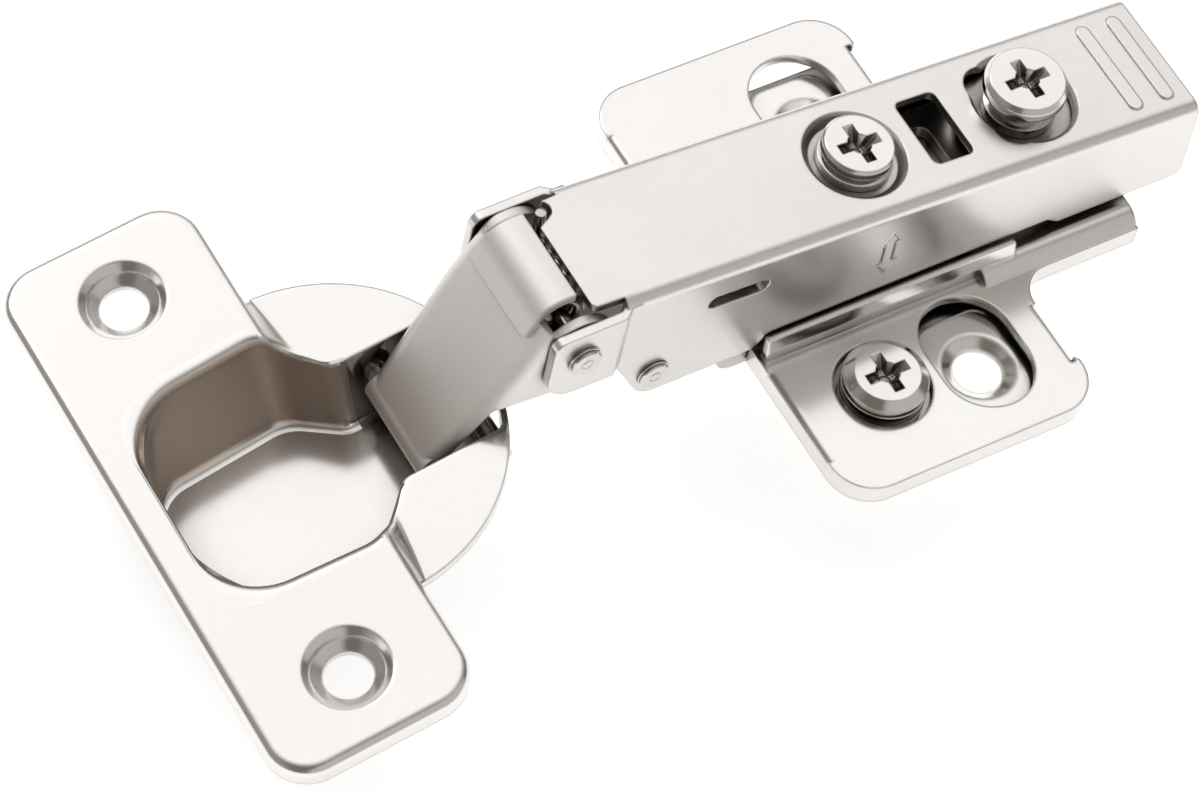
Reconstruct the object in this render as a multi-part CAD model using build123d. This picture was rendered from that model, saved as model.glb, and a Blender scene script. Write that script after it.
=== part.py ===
from build123d import *
import math
import os

# Concealed cup hinge for a full-overlay cabinet door, standing 102 degrees open.
# Millimetres. The origin is the middle between the two screw holes of the lower
# plate, on its underside. +Z points away from the cabinet side, +X runs from the
# door along the arm to its rear end, and the pivots turn about Y.
# Everything except the lower plate shares one plane of symmetry, the arm plane.

# ---------------------------------------------------------------- adjustments
HEIGHT_SET = 1.1            # arm plane above the lower plate's centre
HEIGHT_TRAVEL = 2.0         # either way from the lower plate's centre
DEPTH_TRAVEL = 2.0          # either way from where the arm stands
OPENING_ANGLE = 101.82      # door to cabinet front, as modelled
ARM_TILT_RANGE = 1.5        # degrees either way, overlay setting

# ---------------------------------------------------------------- clearances
RUNNING_GAP = 0.05          # radial, pin in a turning hole
SIDE_GAP = 0.15             # between sheets that turn beside each other
SEAT_GAP = 0.10             # between sheets that slide on each other
FREE_GAP = 0.30             # between pieces that only pass

# ---------------------------------------------------------------- lower plate
LOWER_LEVEL = 0.7           # thickness of the plain sheet
LOWER_PAD = 1.2             # thickness at the screw pads
LOWER_LENGTH = 45.8         # along Y, short enough for the rims at either height limit
LOWER_FRONT = -19.2
LOWER_REAR = 7.0
MOUNT_SPACING = 32.0
MOUNT_HOLE_R = 2.5
MOUNT_SINK_R = 3.85
PAD_HALF_WIDTH = 4.4
PAD_INNER = 9.8
PAD_OUTER = 22.2
PAD_CORNER = 2.0
GUIDE_X = (-12.5, 1.5)      # guide rivets between the two plates
GUIDE_SHANK_R = 1.5
GUIDE_HEAD_R = 2.6
GUIDE_HEAD = 0.8

# ---------------------------------------------------------------- upper plate
UPPER_TOP = 3.0
UPPER_SHEET = 1.1
WING_REACH = 26.2           # half length along Y
WING_EDGE_BOTTOM = 0.63     # lower edge of the turned-down rims
UPPER_FRONT = -20.74
UPPER_REAR = 8.35
WING_CORNER_X = 8.8
LIP_FRONT_SPAN = (10.0, 21.3)
LIP_REAR_SPAN = (13.9, 21.4)
LIP_BEND = 0.9              # outside radius of the turned-down lips
WING_CORNER_R = 4.5
WINDOW_X = -0.2
WINDOW_Y = 16.3
WINDOW_R = 4.9
WINDOW_STRETCH = 1.8
RAIL_HALF_FOOT = 8.8
RAIL_HALF_TOP = 8.2
RAIL_TOP = 6.0
RAIL_REAR = 8.9
TAIL_HALF = 10.5
TAIL_END = 23.2
TAIL_TOP = 4.3
TAIL_HALF_TOP = 7.9

# ---------------------------------------------------------------- height cam
CAM_X = -11.0
CAM_Y = -15.9
CAM_HEAD_R = 4.25
CAM_FACE_R = 3.33
CAM_FACE_Z = 5.35
CAM_RIM_Z = 4.65
CAM_SHOULDER_R = 4.9
CAM_SHOULDER_Z = 2.25
CAM_PIN_R = 1.2
CAM_FLANGE = 0.5
CAM_FLANGE_R = 5.7
CAM_YOKE_SLACK = 0.75       # the pin moves on an arc, the plates in line

# ---------------------------------------------------------------- arm
ARM_TOP_AT_ORIGIN = 18.87
ARM_SLOPE = 4.35            # degrees, the top falls towards the rear
ARM_WIDTH = 15.16
ARM_SHEET = 1.0
ARM_BEND = 1.3
ARM_FRONT = -41.8
ARM_CHANNEL_FRONT = -38.4
ARM_REAR = 29.6
EAR_WIDTH = 16.8
EAR_TOP = 20.7
EAR_BOTTOM = 11.7
EAR_FRONT = -46.6
EAR_CORNER = 3.3
FRONT_FOOT = 4.5            # lower edge of the side wall, front
RECESS_FOOT = 6.5           # lower edge above the upper plate
REAR_FOOT = 5.3             # lower edge, rear
RECESS_FRONT = -21.4
RECESS_REAR = 13.6
TONGUE_HALF = 6.5
FRONT_PIN = (-43.11, 16.95)
REAR_PIN = (-33.40, 7.71)
DIMPLE_X = -8.15
DIMPLE_R = 5.0
DIMPLE_DEPTH = 1.0
DIMPLE_HOLE_R = 2.9
TILT_X = 11.62              # depth screw, and the arm tilts here
KEYHOLE_X = 12.0
KEYHOLE_R = 5.2
KEYHOLE_LUG = (9.2, 2.7, 2.3)
ARM_WINDOW = (-1.15, 3.6)
ARM_WINDOW_HALF = 4.05
ARM_WINDOW_CORNER = 0.8
RIB_SPANS = ((21.6, 23.3), (25.4, 27.1))
RIB_HALF = 5.6
RIB_HEIGHT = 0.2
SLOT_CENTRE = (-25.2, 15.9)
SLOT_LENGTH = 6.9
SLOT_HEIGHT = 1.9

# ---------------------------------------------------------------- pivots
PIVOT_R = 1.25
PIVOT_HEAD_R = 1.65
PIVOT_HEAD = 0.75           # front rivet, over the ears
REAR_PIVOT_HEAD = 0.6       # rear rivet, over the side walls
PIVOT_DIMPLE_R = 0.7

# ---------------------------------------------------------------- outer link
LINK_SHEET = 1.0
LINK_CHEEK = 1.0
LINK_FACE_TO_FRONT_PIN = 4.75
LINK_FACE_TO_CUP_PIN = 1.96
LINK_END_HALF = 5.8
LINK_LIP_HALF = 5.1
LINK_LIP_RISE = 3.1         # from the front pin's foot up to the lip's corner
LINK_LIP_LENGTH = 2.7
LINK_LIP_TURN = 60.4
LINK_LIP_BEND = 3.0
LINK_EYE_R = 4.0
LINK_FOLD = 1.8
CUP_PIN_R = 1.15
CUP_PIN_PROUD = 0.9         # pin ends outside the neck's walls
CUP_PIN_LIP = 0.3
KNUCKLE_SWELL = 0.05        # the curl stands this proud of the face
KNUCKLE_INSET = 0.4
KNUCKLE_MOUTH = 0.9         # gap where the curl closes on the sheet

# ---------------------------------------------------------------- inner link
INNER_THICK = 1.6
INNER_HALF = 3.1
INNER_RISE = (2.1, 2.45)    # crank, first corner from the cup's pin
INNER_CREST = (7.0, 3.4)    # crank, second corner, over the door's edge
INNER_PIN_R = 1.0
INNER_EYE_R = 1.7
INNER_SLOT_R = 2.55         # clearance slot round the rear pin
INNER_SLOT_STRETCH = 0.8
INNER_SLOT_SHIFT = (-1.55, 0.9)
INNER_SLOT_WALL = 1.0
INNER_BEND = 1.8

# ---------------------------------------------------------------- cup
CUP_ORIGIN = (-74.52, 4.61)     # middle between the cup's screw holes, on top
CUP_PIN = (18.55, -6.8)         # outer link's pin, cup coordinates
INNER_CUP_PIN = (23.8, -3.6)    # inner link's pin, cup coordinates
CUP_SCREW_SPACING = 45.0
CUP_CENTRE_U = 9.6
CUP_BORE_R = 17.5
CUP_SHEET = 1.0
CUP_WALL = 0.5                  # the deep drawn wall is thinner round the bore
CUP_DEPTH = 12.9                # inside, from the flange top
FLANGE_LENGTH = 61.0
FLANGE_FRONT_U = -10.6
FLANGE_REAR_U = 10.2
FLANGE_HEIGHT = 2.4
FLANGE_CORNER = 4.5
FLANGE_EDGE = 1.1
LEDGE_TOP = -2.2
STEP_REACH = 0.6                # doubled sheet where the flange drops to the ledge
STEP_RISE = 0.45
FLOOR_END_U = 20.6              # where the pocket's floor turns up to the neck
SCREW_HOLE_R = 2.4
SCREW_SINK_R = 4.28
SCREW_SEAT_R = 3.6
SCREW_SINK_DEPTH = 1.75
CAVITY_FRONT_U = -6.7
CAVITY_HALF = 12.3
CAVITY_SHOULDER_U = 9.6
NECK_U = 14.1
NECK_HALF = 7.2
NECK_END_U = 26.0
CAVITY_DRAFT = 2.3              # inward, from rim to floor, at the sides
CAVITY_FRONT_DRAFT = 0.7        # the arm's end runs close to this wall
CAVITY_CORNER = 4.0
CAVITY_RIM = 0.9

# ---------------------------------------------------------------- inner works
CARRIER_HALF = 6.4
CARRIER_SHEET = 1.2
CARRIER_TOP = 12.4
CARRIER_FRONT = -24.4
CARRIER_WEB_REAR = 18.4
LOBE_REAR = -17.4
LOBE_BOTTOM = 0.3
HOOK_PIN_R = 1.2
CATCH_Z = 4.4               # underside of the upper plate's catch
CATCH_FRONT = -23.6
CATCH_HALF = 4.4
SLIDE_SHEET = 1.4
SLIDE_HALF = 5.6
SLIDE_FRONT = -14.0
SLIDE_REAR = 18.0
SLIDE_CORNER = 2.0
LATCH_PIN = (22.4, 9.6)
LATCH_PIN_R = 1.25
LATCH_HALF = 4.3
LATCH_SHEET = 1.0
LATCH_TAB_END = 29.2
LATCH_SPRING_R = 1.95
LATCH_WIRE_R = 0.4
LATCH_SPRING_PITCH = 0.95
LATCH_SPRING_TURNS = 5
LATCH_LEG = 3.6
LATCH_TAB_DROP = 1.4        # underside of the thumb tab below the latch pin

# ---------------------------------------------------------------- screws
OVERLAY_HEAD_R = 3.69
OVERLAY_HEAD_TOP = 1.77
OVERLAY_THREAD_R = 2.0
OVERLAY_LENGTH = 8.3
THREAD_GAP = 0.45           # the thread itself is left plain
SCREW_COLLAR_DROP = 3.5      # collar's top below the arm's top face
SCREW_COLLAR_R = 4.1
SCREW_COLLAR_HEIGHT = 2.2
DEPTH_HEAD_R = 3.8
DEPTH_RIM_R = 4.2
DEPTH_HEAD_Z = 21.2
DEPTH_JOURNAL_R = 3.2
DEPTH_HUB_WALL = 1.5
DEPTH_BODY_R = 3.75
DEPTH_PIN_R = 1.1
DEPTH_YOKE_SLACK = 0.5
WASHER_R = 5.6
WASHER_THICK = 0.8
ROCKER_R = 0.5              # half-round ridge the arm tilts on
ROCKER_SPAN = (5.3, 6.1)    # beside the keyhole, inside the arm's walls
ROCKER_FOOT = 1.5
RECESS_REACH = 2.35
RECESS_WIDTH = 1.15
RECESS_DEPTH = 1.5

# ---------------------------------------------------------------- springs
SPRING_WIRE_R = 0.55
SPRING_COIL_R = 2.46
SPRING_PITCH = 1.35
SPRING_PEG_Y = 5.28
SPRING_TURNS = 6.54        # the last leg leaves upward on the lip's side
SPRING_PEG_SINK = 0.45      # peg's end below the arm's top
SPRING_LEG = 1.9

# ---------------------------------------------------------------- worked out
CUP_TILT = OPENING_ANGLE - 90.0
ARM_HALF = ARM_WIDTH / 2
ARM_INNER_HALF = ARM_HALF - ARM_SHEET
EAR_HALF = EAR_WIDTH / 2
EAR_INNER_HALF = EAR_HALF - ARM_SHEET
CHEEK_HALF = EAR_INNER_HALF - SIDE_GAP
SCREW_FOOT_X = DIMPLE_X - 0.5   # where the leaning overlay screw ends
TALL = 60.0                     # longer than anything it cuts


# ---------------------------------------------------------------- helpers
def outline(points, radii):
    """A closed flat face with its own radius at each corner."""
    return make_face(FilletPolyline(*points, radius=radii, close=True))


def side_plate(face, half):
    """A face drawn as (x, z), extruded along Y between -half and half."""
    return extrude(Plane.XZ * face, amount=half, both=True)


def both_sides(shape):
    return shape + mirror(shape, about=Plane.XZ)


def turned(profile_points, centre=(0, 0)):
    """A solid of revolution about Z from (radius, z) points."""
    face = make_face(Polyline(*profile_points, close=True))
    solid = revolve(Plane.XZ * face, Axis.Z)
    return Pos(centre[0], centre[1], 0) * solid


def cross_pin(centre, radius, half):
    """A plain pin along Y, ends at -half and half."""
    pin = Cylinder(radius, 2 * half, rotation=(90, 0, 0))
    return Pos(centre[0], 0, centre[1]) * pin


def upright(radius, bottom, top, x=0.0, y=0.0):
    low = (Align.CENTER, Align.CENTER, Align.MIN)
    return Pos(x, y, bottom) * Cylinder(radius, top - bottom, align=low)


def block(x_span, y_span, z_span):
    low = (Align.MIN, Align.MIN, Align.MIN)
    size = [max(span) - min(span) for span in (x_span, y_span, z_span)]
    return Pos(min(x_span), min(y_span), min(z_span)) * Box(*size, align=low)


def cross_recess(top_z):
    """Tapered four-way driver recess, cut down from top_z on the Z axis."""
    recess = None
    for angle in (0, 90):
        wide = Rectangle(2 * RECESS_REACH, RECESS_WIDTH)
        narrow = Rectangle(RECESS_REACH, RECESS_WIDTH * 0.6)
        low = Pos(0, 0, top_z - RECESS_DEPTH) * Rot(0, 0, angle) * narrow
        high = Pos(0, 0, top_z + 0.01) * Rot(0, 0, angle) * wide
        arm_cut = loft([Sketch() + low, Sketch() + high])
        recess = arm_cut if recess is None else recess + arm_cut
    core = Cone(0.5, 1.25, RECESS_DEPTH + 0.3)
    return recess + Pos(0, 0, top_z - RECESS_DEPTH / 2 - 0.1) * core


def riveted_pin(centre, grip_half, head_height):
    """A pivot pin through sheets that reach to grip_half, with a set head on each."""
    pin = cross_pin(centre, PIVOT_R, grip_half)
    dimple = PIVOT_DIMPLE_R
    head_points = (
        (0, 0), (PIVOT_HEAD_R, 0), (PIVOT_HEAD_R, head_height - 0.2),
        (PIVOT_HEAD_R - 0.2, head_height), (dimple + 0.1, head_height),
        (dimple, head_height - 0.1), (0, head_height - 0.1),
    )
    head = turned(head_points)
    far = Pos(centre[0], grip_half, centre[1]) * Rot(-90, 0, 0) * head
    near = Pos(centre[0], -grip_half, centre[1]) * Rot(90, 0, 0) * head
    return pin + far + near


def on_arm(shape, x, y=0.0):
    """Stand a shape on the arm's sloping top face, above x."""
    along = x / math.cos(math.radians(ARM_SLOPE))
    return Pos(0, 0, ARM_TOP_AT_ORIGIN) * Rot(0, ARM_SLOPE, 0) * Pos(along, y, 0) * shape


def arm_top(x):
    return ARM_TOP_AT_ORIGIN - x * math.tan(math.radians(ARM_SLOPE))


def on_cup(shape):
    """Place a shape drawn in cup coordinates: u along X, v along Y, w along Z."""
    return Pos(CUP_ORIGIN[0], 0, CUP_ORIGIN[1]) * Rot(0, -CUP_TILT, 0) * shape


def cup_point(point):
    """World (x, z) of a point given as (u, w) on the cup."""
    tilt = math.radians(CUP_TILT)
    x = CUP_ORIGIN[0] + point[0] * math.cos(tilt) - point[1] * math.sin(tilt)
    z = CUP_ORIGIN[1] + point[0] * math.sin(tilt) + point[1] * math.cos(tilt)
    return (x, z)


# ---------------------------------------------------------------- mounting plate
def cam_pin_place():
    """Rest place of the cam's eccentric pin, from the cam's own axis."""
    swing = math.asin(HEIGHT_SET / HEIGHT_TRAVEL)
    return (HEIGHT_TRAVEL * math.cos(swing), -HEIGHT_SET)


def plate_lower():
    rear, front, half = LOWER_REAR, LOWER_FRONT, LOWER_LENGTH / 2
    corners = [(front, -half), (rear, -half), (rear, half), (front, half)]
    plate = extrude(outline(corners, 3.0), LOWER_LEVEL)
    sink_start = LOWER_PAD - (MOUNT_SINK_R - MOUNT_HOLE_R) * 0.7
    for side in (-1, 1):
        pad_face = outline(
            [(-PAD_HALF_WIDTH, side * PAD_INNER), (PAD_HALF_WIDTH, side * PAD_INNER),
             (PAD_HALF_WIDTH, side * PAD_OUTER), (-PAD_HALF_WIDTH, side * PAD_OUTER)],
            PAD_CORNER,
        )
        plate += extrude(pad_face, LOWER_PAD)
    for side in (-1, 1):
        y = side * MOUNT_SPACING / 2
        plate -= upright(MOUNT_HOLE_R, -1, LOWER_PAD + 1, y=y)
        sink = turned(
            ((0, sink_start), (MOUNT_HOLE_R, sink_start),
             (MOUNT_SINK_R, LOWER_PAD), (0, LOWER_PAD)),
            (0, y),
        )
        plate -= sink
        # room for the carrier's front lobes at either end of the height travel
        lobe_low = CARRIER_HALF - CARRIER_SHEET - HEIGHT_TRAVEL - FREE_GAP
        lobe_high = CARRIER_HALF + HEIGHT_TRAVEL + FREE_GAP
        plate -= block((front - 1, LOBE_REAR + FREE_GAP),
                       (side * lobe_low, side * lobe_high), (-1, LOWER_PAD + 1))
    for x in GUIDE_X:
        plate -= upright(GUIDE_SHANK_R, -1, LOWER_PAD + 1, x=x)
    # slot for the eccentric pin of the height cam
    slack = CAM_PIN_R + CAM_YOKE_SLACK
    slot_front = CAM_X - CAM_YOKE_SLACK - CAM_PIN_R
    slot_rear = CAM_X + HEIGHT_TRAVEL + slack
    plate -= block((slot_front, slot_rear), (CAM_Y - slack, CAM_Y + slack), (-1, LOWER_PAD + 1))
    return plate


def guide_rivets():
    rivets = []
    for x in GUIDE_X:
        head_low = UPPER_TOP + SEAT_GAP
        points = (
            (0, 0.1), (GUIDE_SHANK_R, 0.1), (GUIDE_SHANK_R, head_low),
            (GUIDE_HEAD_R, head_low), (GUIDE_HEAD_R, head_low + GUIDE_HEAD - 0.3),
            (GUIDE_HEAD_R - 0.4, head_low + GUIDE_HEAD), (0, head_low + GUIDE_HEAD),
        )
        rivets.append(turned(points, (x, 0)))
    return Compound(rivets)


def pan_outline(inset):
    """Half of the upper plate's plan, +Y side, drawn inset from its real edge."""
    front = UPPER_FRONT + inset
    rear = WING_CORNER_X - inset
    waist = UPPER_REAR - inset
    end = WING_REACH - inset
    corner = max(WING_CORNER_R - inset, 0.5)
    points = [(front, 0), (front, end), (rear, end), (rear, LIP_REAR_SPAN[1]),
              (waist, LIP_REAR_SPAN[1] - 0.5), (waist, TAIL_HALF - inset),
              (TAIL_END, TAIL_HALF - inset), (TAIL_END, 0)]
    radii = [0, corner, corner, 0, 0, 3.4, 0, 0]
    return outline(points, radii)


def bend_round(edge_x, inward, y_span):
    """What a rounded bend takes off the pan's top edge at edge_x."""
    middle = edge_x + inward * LIP_BEND
    corner = block((edge_x, middle), y_span, (UPPER_TOP - LIP_BEND, UPPER_TOP))
    length = max(y_span) - min(y_span)
    roll = Cylinder(LIP_BEND, length, rotation=(90, 0, 0))
    return corner - Pos(middle, sum(y_span) / 2, UPPER_TOP - LIP_BEND) * roll


def plate_upper():
    pan_top = UPPER_TOP - UPPER_SHEET
    skin = Pos(0, 0, WING_EDGE_BOTTOM) * extrude(pan_outline(0), UPPER_TOP - WING_EDGE_BOTTOM)
    # the rims beside the arm are bent over a radius
    skin -= bend_round(UPPER_FRONT, 1, LIP_FRONT_SPAN)
    skin -= bend_round(UPPER_REAR, -1, LIP_REAR_SPAN)
    skin = both_sides(skin)
    tail_span = (UPPER_REAR - 3.5, TAIL_END)
    tail_low = WING_EDGE_BOTTOM
    tail_face = outline(
        [(-TAIL_HALF, tail_low), (-TAIL_HALF, TAIL_TOP), (TAIL_HALF, TAIL_TOP), (TAIL_HALF, tail_low)],
        [0, TAIL_HALF - TAIL_HALF_TOP, TAIL_HALF - TAIL_HALF_TOP, 0],
    )
    tail = Pos(tail_span[0], 0, 0) * extrude(Plane.YZ * tail_face, tail_span[1] - tail_span[0])
    tail_cut = outline(
        [(-TAIL_HALF + UPPER_SHEET, -1), (-TAIL_HALF + UPPER_SHEET, TAIL_TOP - UPPER_SHEET),
         (TAIL_HALF - UPPER_SHEET, TAIL_TOP - UPPER_SHEET), (TAIL_HALF - UPPER_SHEET, -1)],
        [0, 1.5, 1.5, 0],
    )
    hollow_tail = Pos(tail_span[0] + UPPER_SHEET, 0, 0) * extrude(
        Plane.YZ * tail_cut, tail_span[1] - tail_span[0])
    hollow = both_sides(Pos(0, 0, -1) * extrude(pan_outline(UPPER_SHEET), pan_top + 1))
    keep_low = block((-TALL, UPPER_REAR - UPPER_SHEET), (-TALL, TALL), (-TALL, pan_top))
    plate = skin + tail - (hollow & keep_low) - hollow_tail
    # rails beside the arm
    rail_front = UPPER_FRONT + 0.5
    rail_inner = ARM_HALF + SIDE_GAP
    rail_face = outline(
        [(rail_inner, pan_top), (rail_inner, RAIL_TOP), (RAIL_HALF_TOP + 0.1, RAIL_TOP),
         (RAIL_HALF_FOOT, RAIL_TOP - 1.6), (RAIL_HALF_FOOT, pan_top)],
        [0, 0, 0.3, 0.8, 0],
    )
    rail = Pos(rail_front, 0, 0) * extrude(Plane.YZ * rail_face, RAIL_REAR - rail_front)
    plate += rail + mirror(rail, about=Plane.XZ)
    # catch for the carrier's hook pin: a strap that rises and reaches forward
    strap = outline(
        [(UPPER_FRONT, pan_top), (UPPER_FRONT, CATCH_Z), (CATCH_FRONT, CATCH_Z),
         (CATCH_FRONT, CATCH_Z + UPPER_SHEET), (UPPER_FRONT + 2.4, CATCH_Z + UPPER_SHEET),
         (UPPER_FRONT + 4.0, UPPER_TOP), (UPPER_FRONT + 4.0, pan_top)],
        [0, 0.3, 0, 0.4, 1.0, 0.5, 0],
    )
    plate += side_plate(strap, CATCH_HALF)
    # notches for the carrier's front lobes
    for side in (-1, 1):
        lobe_low = CARRIER_HALF - CARRIER_SHEET - SIDE_GAP
        lobe_high = CARRIER_HALF + SIDE_GAP
        plate -= block((UPPER_FRONT - 1, LOBE_REAR + FREE_GAP),
                       (side * lobe_low, side * lobe_high), (-1, UPPER_TOP + 0.01))
    # oval windows over the screw pads
    for side in (-1, 1):
        oval = SlotOverall(2 * (WINDOW_R + WINDOW_STRETCH), 2 * WINDOW_R, rotation=90)
        plate -= Pos(WINDOW_X, side * WINDOW_Y, 0) * extrude(oval, UPPER_TOP + 1)
    # guide slots, cam hole
    guide_reach = GUIDE_SHANK_R + RUNNING_GAP
    for x in GUIDE_X:
        slot = SlotOverall(2 * (guide_reach + HEIGHT_TRAVEL + 0.1), 2 * guide_reach, rotation=90)
        plate -= Pos(x, 0, 0) * extrude(slot, UPPER_TOP + 1)
    plate -= upright(CAM_SHOULDER_R + RUNNING_GAP, -1, UPPER_TOP + 1, x=CAM_X, y=CAM_Y)
    return plate


def height_cam_screw():
    """Turns in the upper plate; its eccentric pin stands in the lower plate's slot."""
    flange_top = UPPER_TOP - UPPER_SHEET - RUNNING_GAP
    flange_low = flange_top - CAM_FLANGE
    points = (
        (0, flange_low), (CAM_FLANGE_R, flange_low), (CAM_FLANGE_R, flange_top),
        (CAM_SHOULDER_R, flange_top), (CAM_SHOULDER_R, CAM_SHOULDER_Z),
        (CAM_HEAD_R, CAM_SHOULDER_Z), (CAM_HEAD_R, CAM_RIM_Z),
        (CAM_FACE_R, CAM_FACE_Z), (0, CAM_FACE_Z),
    )
    screw = turned(points) - cross_recess(CAM_FACE_Z)
    pin_x, pin_y = cam_pin_place()
    screw += upright(CAM_PIN_R, 0.1, flange_low + 0.01, x=pin_x, y=pin_y)
    return Pos(CAM_X, CAM_Y, 0) * screw


# ---------------------------------------------------------------- carrier
def carrier():
    """The folded channel inside the arm that clips on the upper plate."""
    foot = UPPER_TOP + SEAT_GAP
    tail_foot = TAIL_TOP + SEAT_GAP
    eye = LATCH_PIN_R + 1.9
    wall = outline(
        [(CARRIER_FRONT, CARRIER_TOP), (CARRIER_FRONT, LOBE_BOTTOM), (LOBE_REAR, LOBE_BOTTOM),
         (LOBE_REAR, foot), (UPPER_REAR - 4.4, foot), (UPPER_REAR - 4.4, tail_foot),
         (LATCH_PIN[0] + eye, tail_foot), (LATCH_PIN[0] + eye, LATCH_PIN[1] + eye),
         (CARRIER_WEB_REAR + 1.0, LATCH_PIN[1] + eye), (CARRIER_WEB_REAR + 1.0, CARRIER_TOP)],
        [1.5, 2.4, 1.5, 0.5, 0, 0, 1.5, eye - 0.2, 0, 0],
    )
    inner_half = CARRIER_HALF - CARRIER_SHEET
    body = side_plate(wall, CARRIER_HALF)
    web_low = CARRIER_TOP - CARRIER_SHEET
    body -= block((CARRIER_FRONT - 1, CARRIER_WEB_REAR), (-inner_half, inner_half), (-1, web_low))
    body -= block((CARRIER_WEB_REAR, TALL), (-inner_half, inner_half), (-1, TALL))
    body -= cross_pin(LATCH_PIN, LATCH_PIN_R, CARRIER_HALF + 1)
    body -= cross_pin(hook_pin_place(), HOOK_PIN_R, CARRIER_HALF + 1)
    # slot that the overlay screw's tip moves along
    tip = OVERLAY_THREAD_R + 0.6
    slot = SlotOverall(2 * (tip + DEPTH_TRAVEL), 2 * tip)
    body -= Pos(SCREW_FOOT_X, 0, web_low - 1) * extrude(slot, CARRIER_SHEET + 2)
    # cross slot for the eccentric pin of the depth screw
    reach = DEPTH_TRAVEL + DEPTH_PIN_R + 0.1
    wide = DEPTH_PIN_R + DEPTH_YOKE_SLACK
    body -= block((TILT_X - wide, TILT_X + wide), (-reach, reach), (web_low - 1, CARRIER_TOP + 1))
    return body


def hook_pin_place():
    return (UPPER_FRONT - HOOK_PIN_R - RUNNING_GAP, CATCH_Z - HOOK_PIN_R - RUNNING_GAP)


def hook_pin():
    return cross_pin(hook_pin_place(), HOOK_PIN_R, CARRIER_HALF)


def latch_pin():
    return cross_pin(LATCH_PIN, LATCH_PIN_R, CARRIER_HALF)


def latch_lever():
    """Folded lever whose two hooks hold the tail of the upper plate."""
    x, z = LATCH_PIN
    eye = LATCH_PIN_R + 1.15
    hook_back = TAIL_END + FREE_GAP
    hook_top = TAIL_TOP - UPPER_SHEET - FREE_GAP
    tab_low = latch_tab_top() - LATCH_SHEET
    side = outline(
        [(x - eye, z + eye), (x - eye, z - eye), (hook_back, z - eye - 0.6),
         (hook_back, hook_top), (hook_back - 1.3, hook_top), (hook_back - 1.3, hook_top - 1.0),
         (hook_back + 1.5, hook_top - 1.2), (hook_back + 1.5, tab_low - 0.6),
         (LATCH_TAB_END, tab_low - 0.6), (LATCH_TAB_END, tab_low + LATCH_SHEET),
         (x + eye, tab_low + LATCH_SHEET), (x + eye, z + eye)],
        [eye - 0.1, 1.0, 0.4, 0.3, 0, 0.4, 0.8, 1.0, 0.5, 0, 0.3, eye - 0.1],
    )
    lever = side_plate(side, LATCH_HALF)
    between = LATCH_HALF - LATCH_SHEET
    room = block((x - TALL, x + eye + 0.9), (-between, between), (-TALL, TALL))
    below_tab = block((x, TALL), (-between, between), (-TALL, tab_low))
    lever -= room + below_tab
    return lever - cross_pin(LATCH_PIN, LATCH_PIN_R + RUNNING_GAP, LATCH_HALF + 1)


def coil_spring(radius, wire, pitch, turns, lead_in, lead_out, lefthand=False):
    """Torsion spring about Z with straight legs; its coil starts at z = 0 on +X."""
    helix = Helix(pitch, pitch * turns, radius, lefthand=lefthand)
    first, last = helix @ 0, helix @ 1
    path = Wire([
        Line(first - (helix % 0) * lead_in, first).edge(), helix.edge(),
        Line(last, last + (helix % 1) * lead_out).edge(),
    ])
    section = Plane(path @ 0, z_dir=path % 0) * Circle(wire)
    return sweep(section, path)


def latch_spring():
    """Small torsion spring on the latch pin, one leg on the tab, one under the carrier."""
    x, z = LATCH_PIN
    radius = LATCH_SPRING_R
    rear_lean, front_lean = 22.0, 12.0
    turns = LATCH_SPRING_TURNS + (rear_lean + front_lean) / 360
    start_z = z + radius * math.cos(math.radians(rear_lean))
    drop = start_z - (latch_tab_top() + LATCH_WIRE_R + RUNNING_GAP)
    rear_leg = drop / math.sin(math.radians(rear_lean))
    spring = coil_spring(radius, LATCH_WIRE_R, LATCH_SPRING_PITCH, turns, rear_leg, LATCH_LEG)
    half = LATCH_SPRING_PITCH * turns / 2
    return Pos(x, half, z) * Rot(90, 0, 0) * Rot(0, 0, 90 - rear_lean) * spring


def latch_tab_top():
    return LATCH_PIN[1] - LATCH_TAB_DROP + LATCH_SHEET


# ---------------------------------------------------------------- adjusters
def adjusting_slide():
    """Strap between carrier and arm that the depth screw shifts along X."""
    low = CARRIER_TOP + SEAT_GAP
    corners = [(SLIDE_FRONT, -SLIDE_HALF), (SLIDE_REAR, -SLIDE_HALF),
               (SLIDE_REAR, SLIDE_HALF), (SLIDE_FRONT, SLIDE_HALF)]
    strap = Pos(0, 0, low) * extrude(outline(corners, SLIDE_CORNER), SLIDE_SHEET)
    collar = upright(SCREW_COLLAR_R, -SCREW_COLLAR_HEIGHT, 0)
    collar = on_arm(Pos(0, 0, -SCREW_COLLAR_DROP) * collar, DIMPLE_X)
    strap += collar & block((-TALL, TALL), (-TALL, TALL), (low, TALL))
    strap += upright(DEPTH_JOURNAL_R + DEPTH_HUB_WALL, low, washer_low(), x=TILT_X)
    strap -= on_arm(upright(OVERLAY_THREAD_R + THREAD_GAP, -TALL, 0), DIMPLE_X)
    strap -= upright(DEPTH_JOURNAL_R + RUNNING_GAP, low - 1, TALL, x=TILT_X)
    middle = (ARM_WINDOW[0] + ARM_WINDOW[1]) / 2
    half = (ARM_WINDOW[1] - ARM_WINDOW[0]) / 2 - 0.2
    reach = ARM_WINDOW_HALF - 0.6
    opening = outline([(middle - half, -reach), (middle + half, -reach),
                       (middle + half, reach), (middle - half, reach)], 1.2)
    return strap - Pos(0, 0, low - 1) * extrude(opening, SLIDE_SHEET + 2)


def washer_low():
    """Underside of the washer, low enough for the sloping and tilting arm."""
    slope_drop = WASHER_R * math.tan(math.radians(ARM_SLOPE + ARM_TILT_RANGE))
    return arm_top(TILT_X) - ARM_SHEET - slope_drop - RUNNING_GAP - WASHER_THICK


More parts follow.
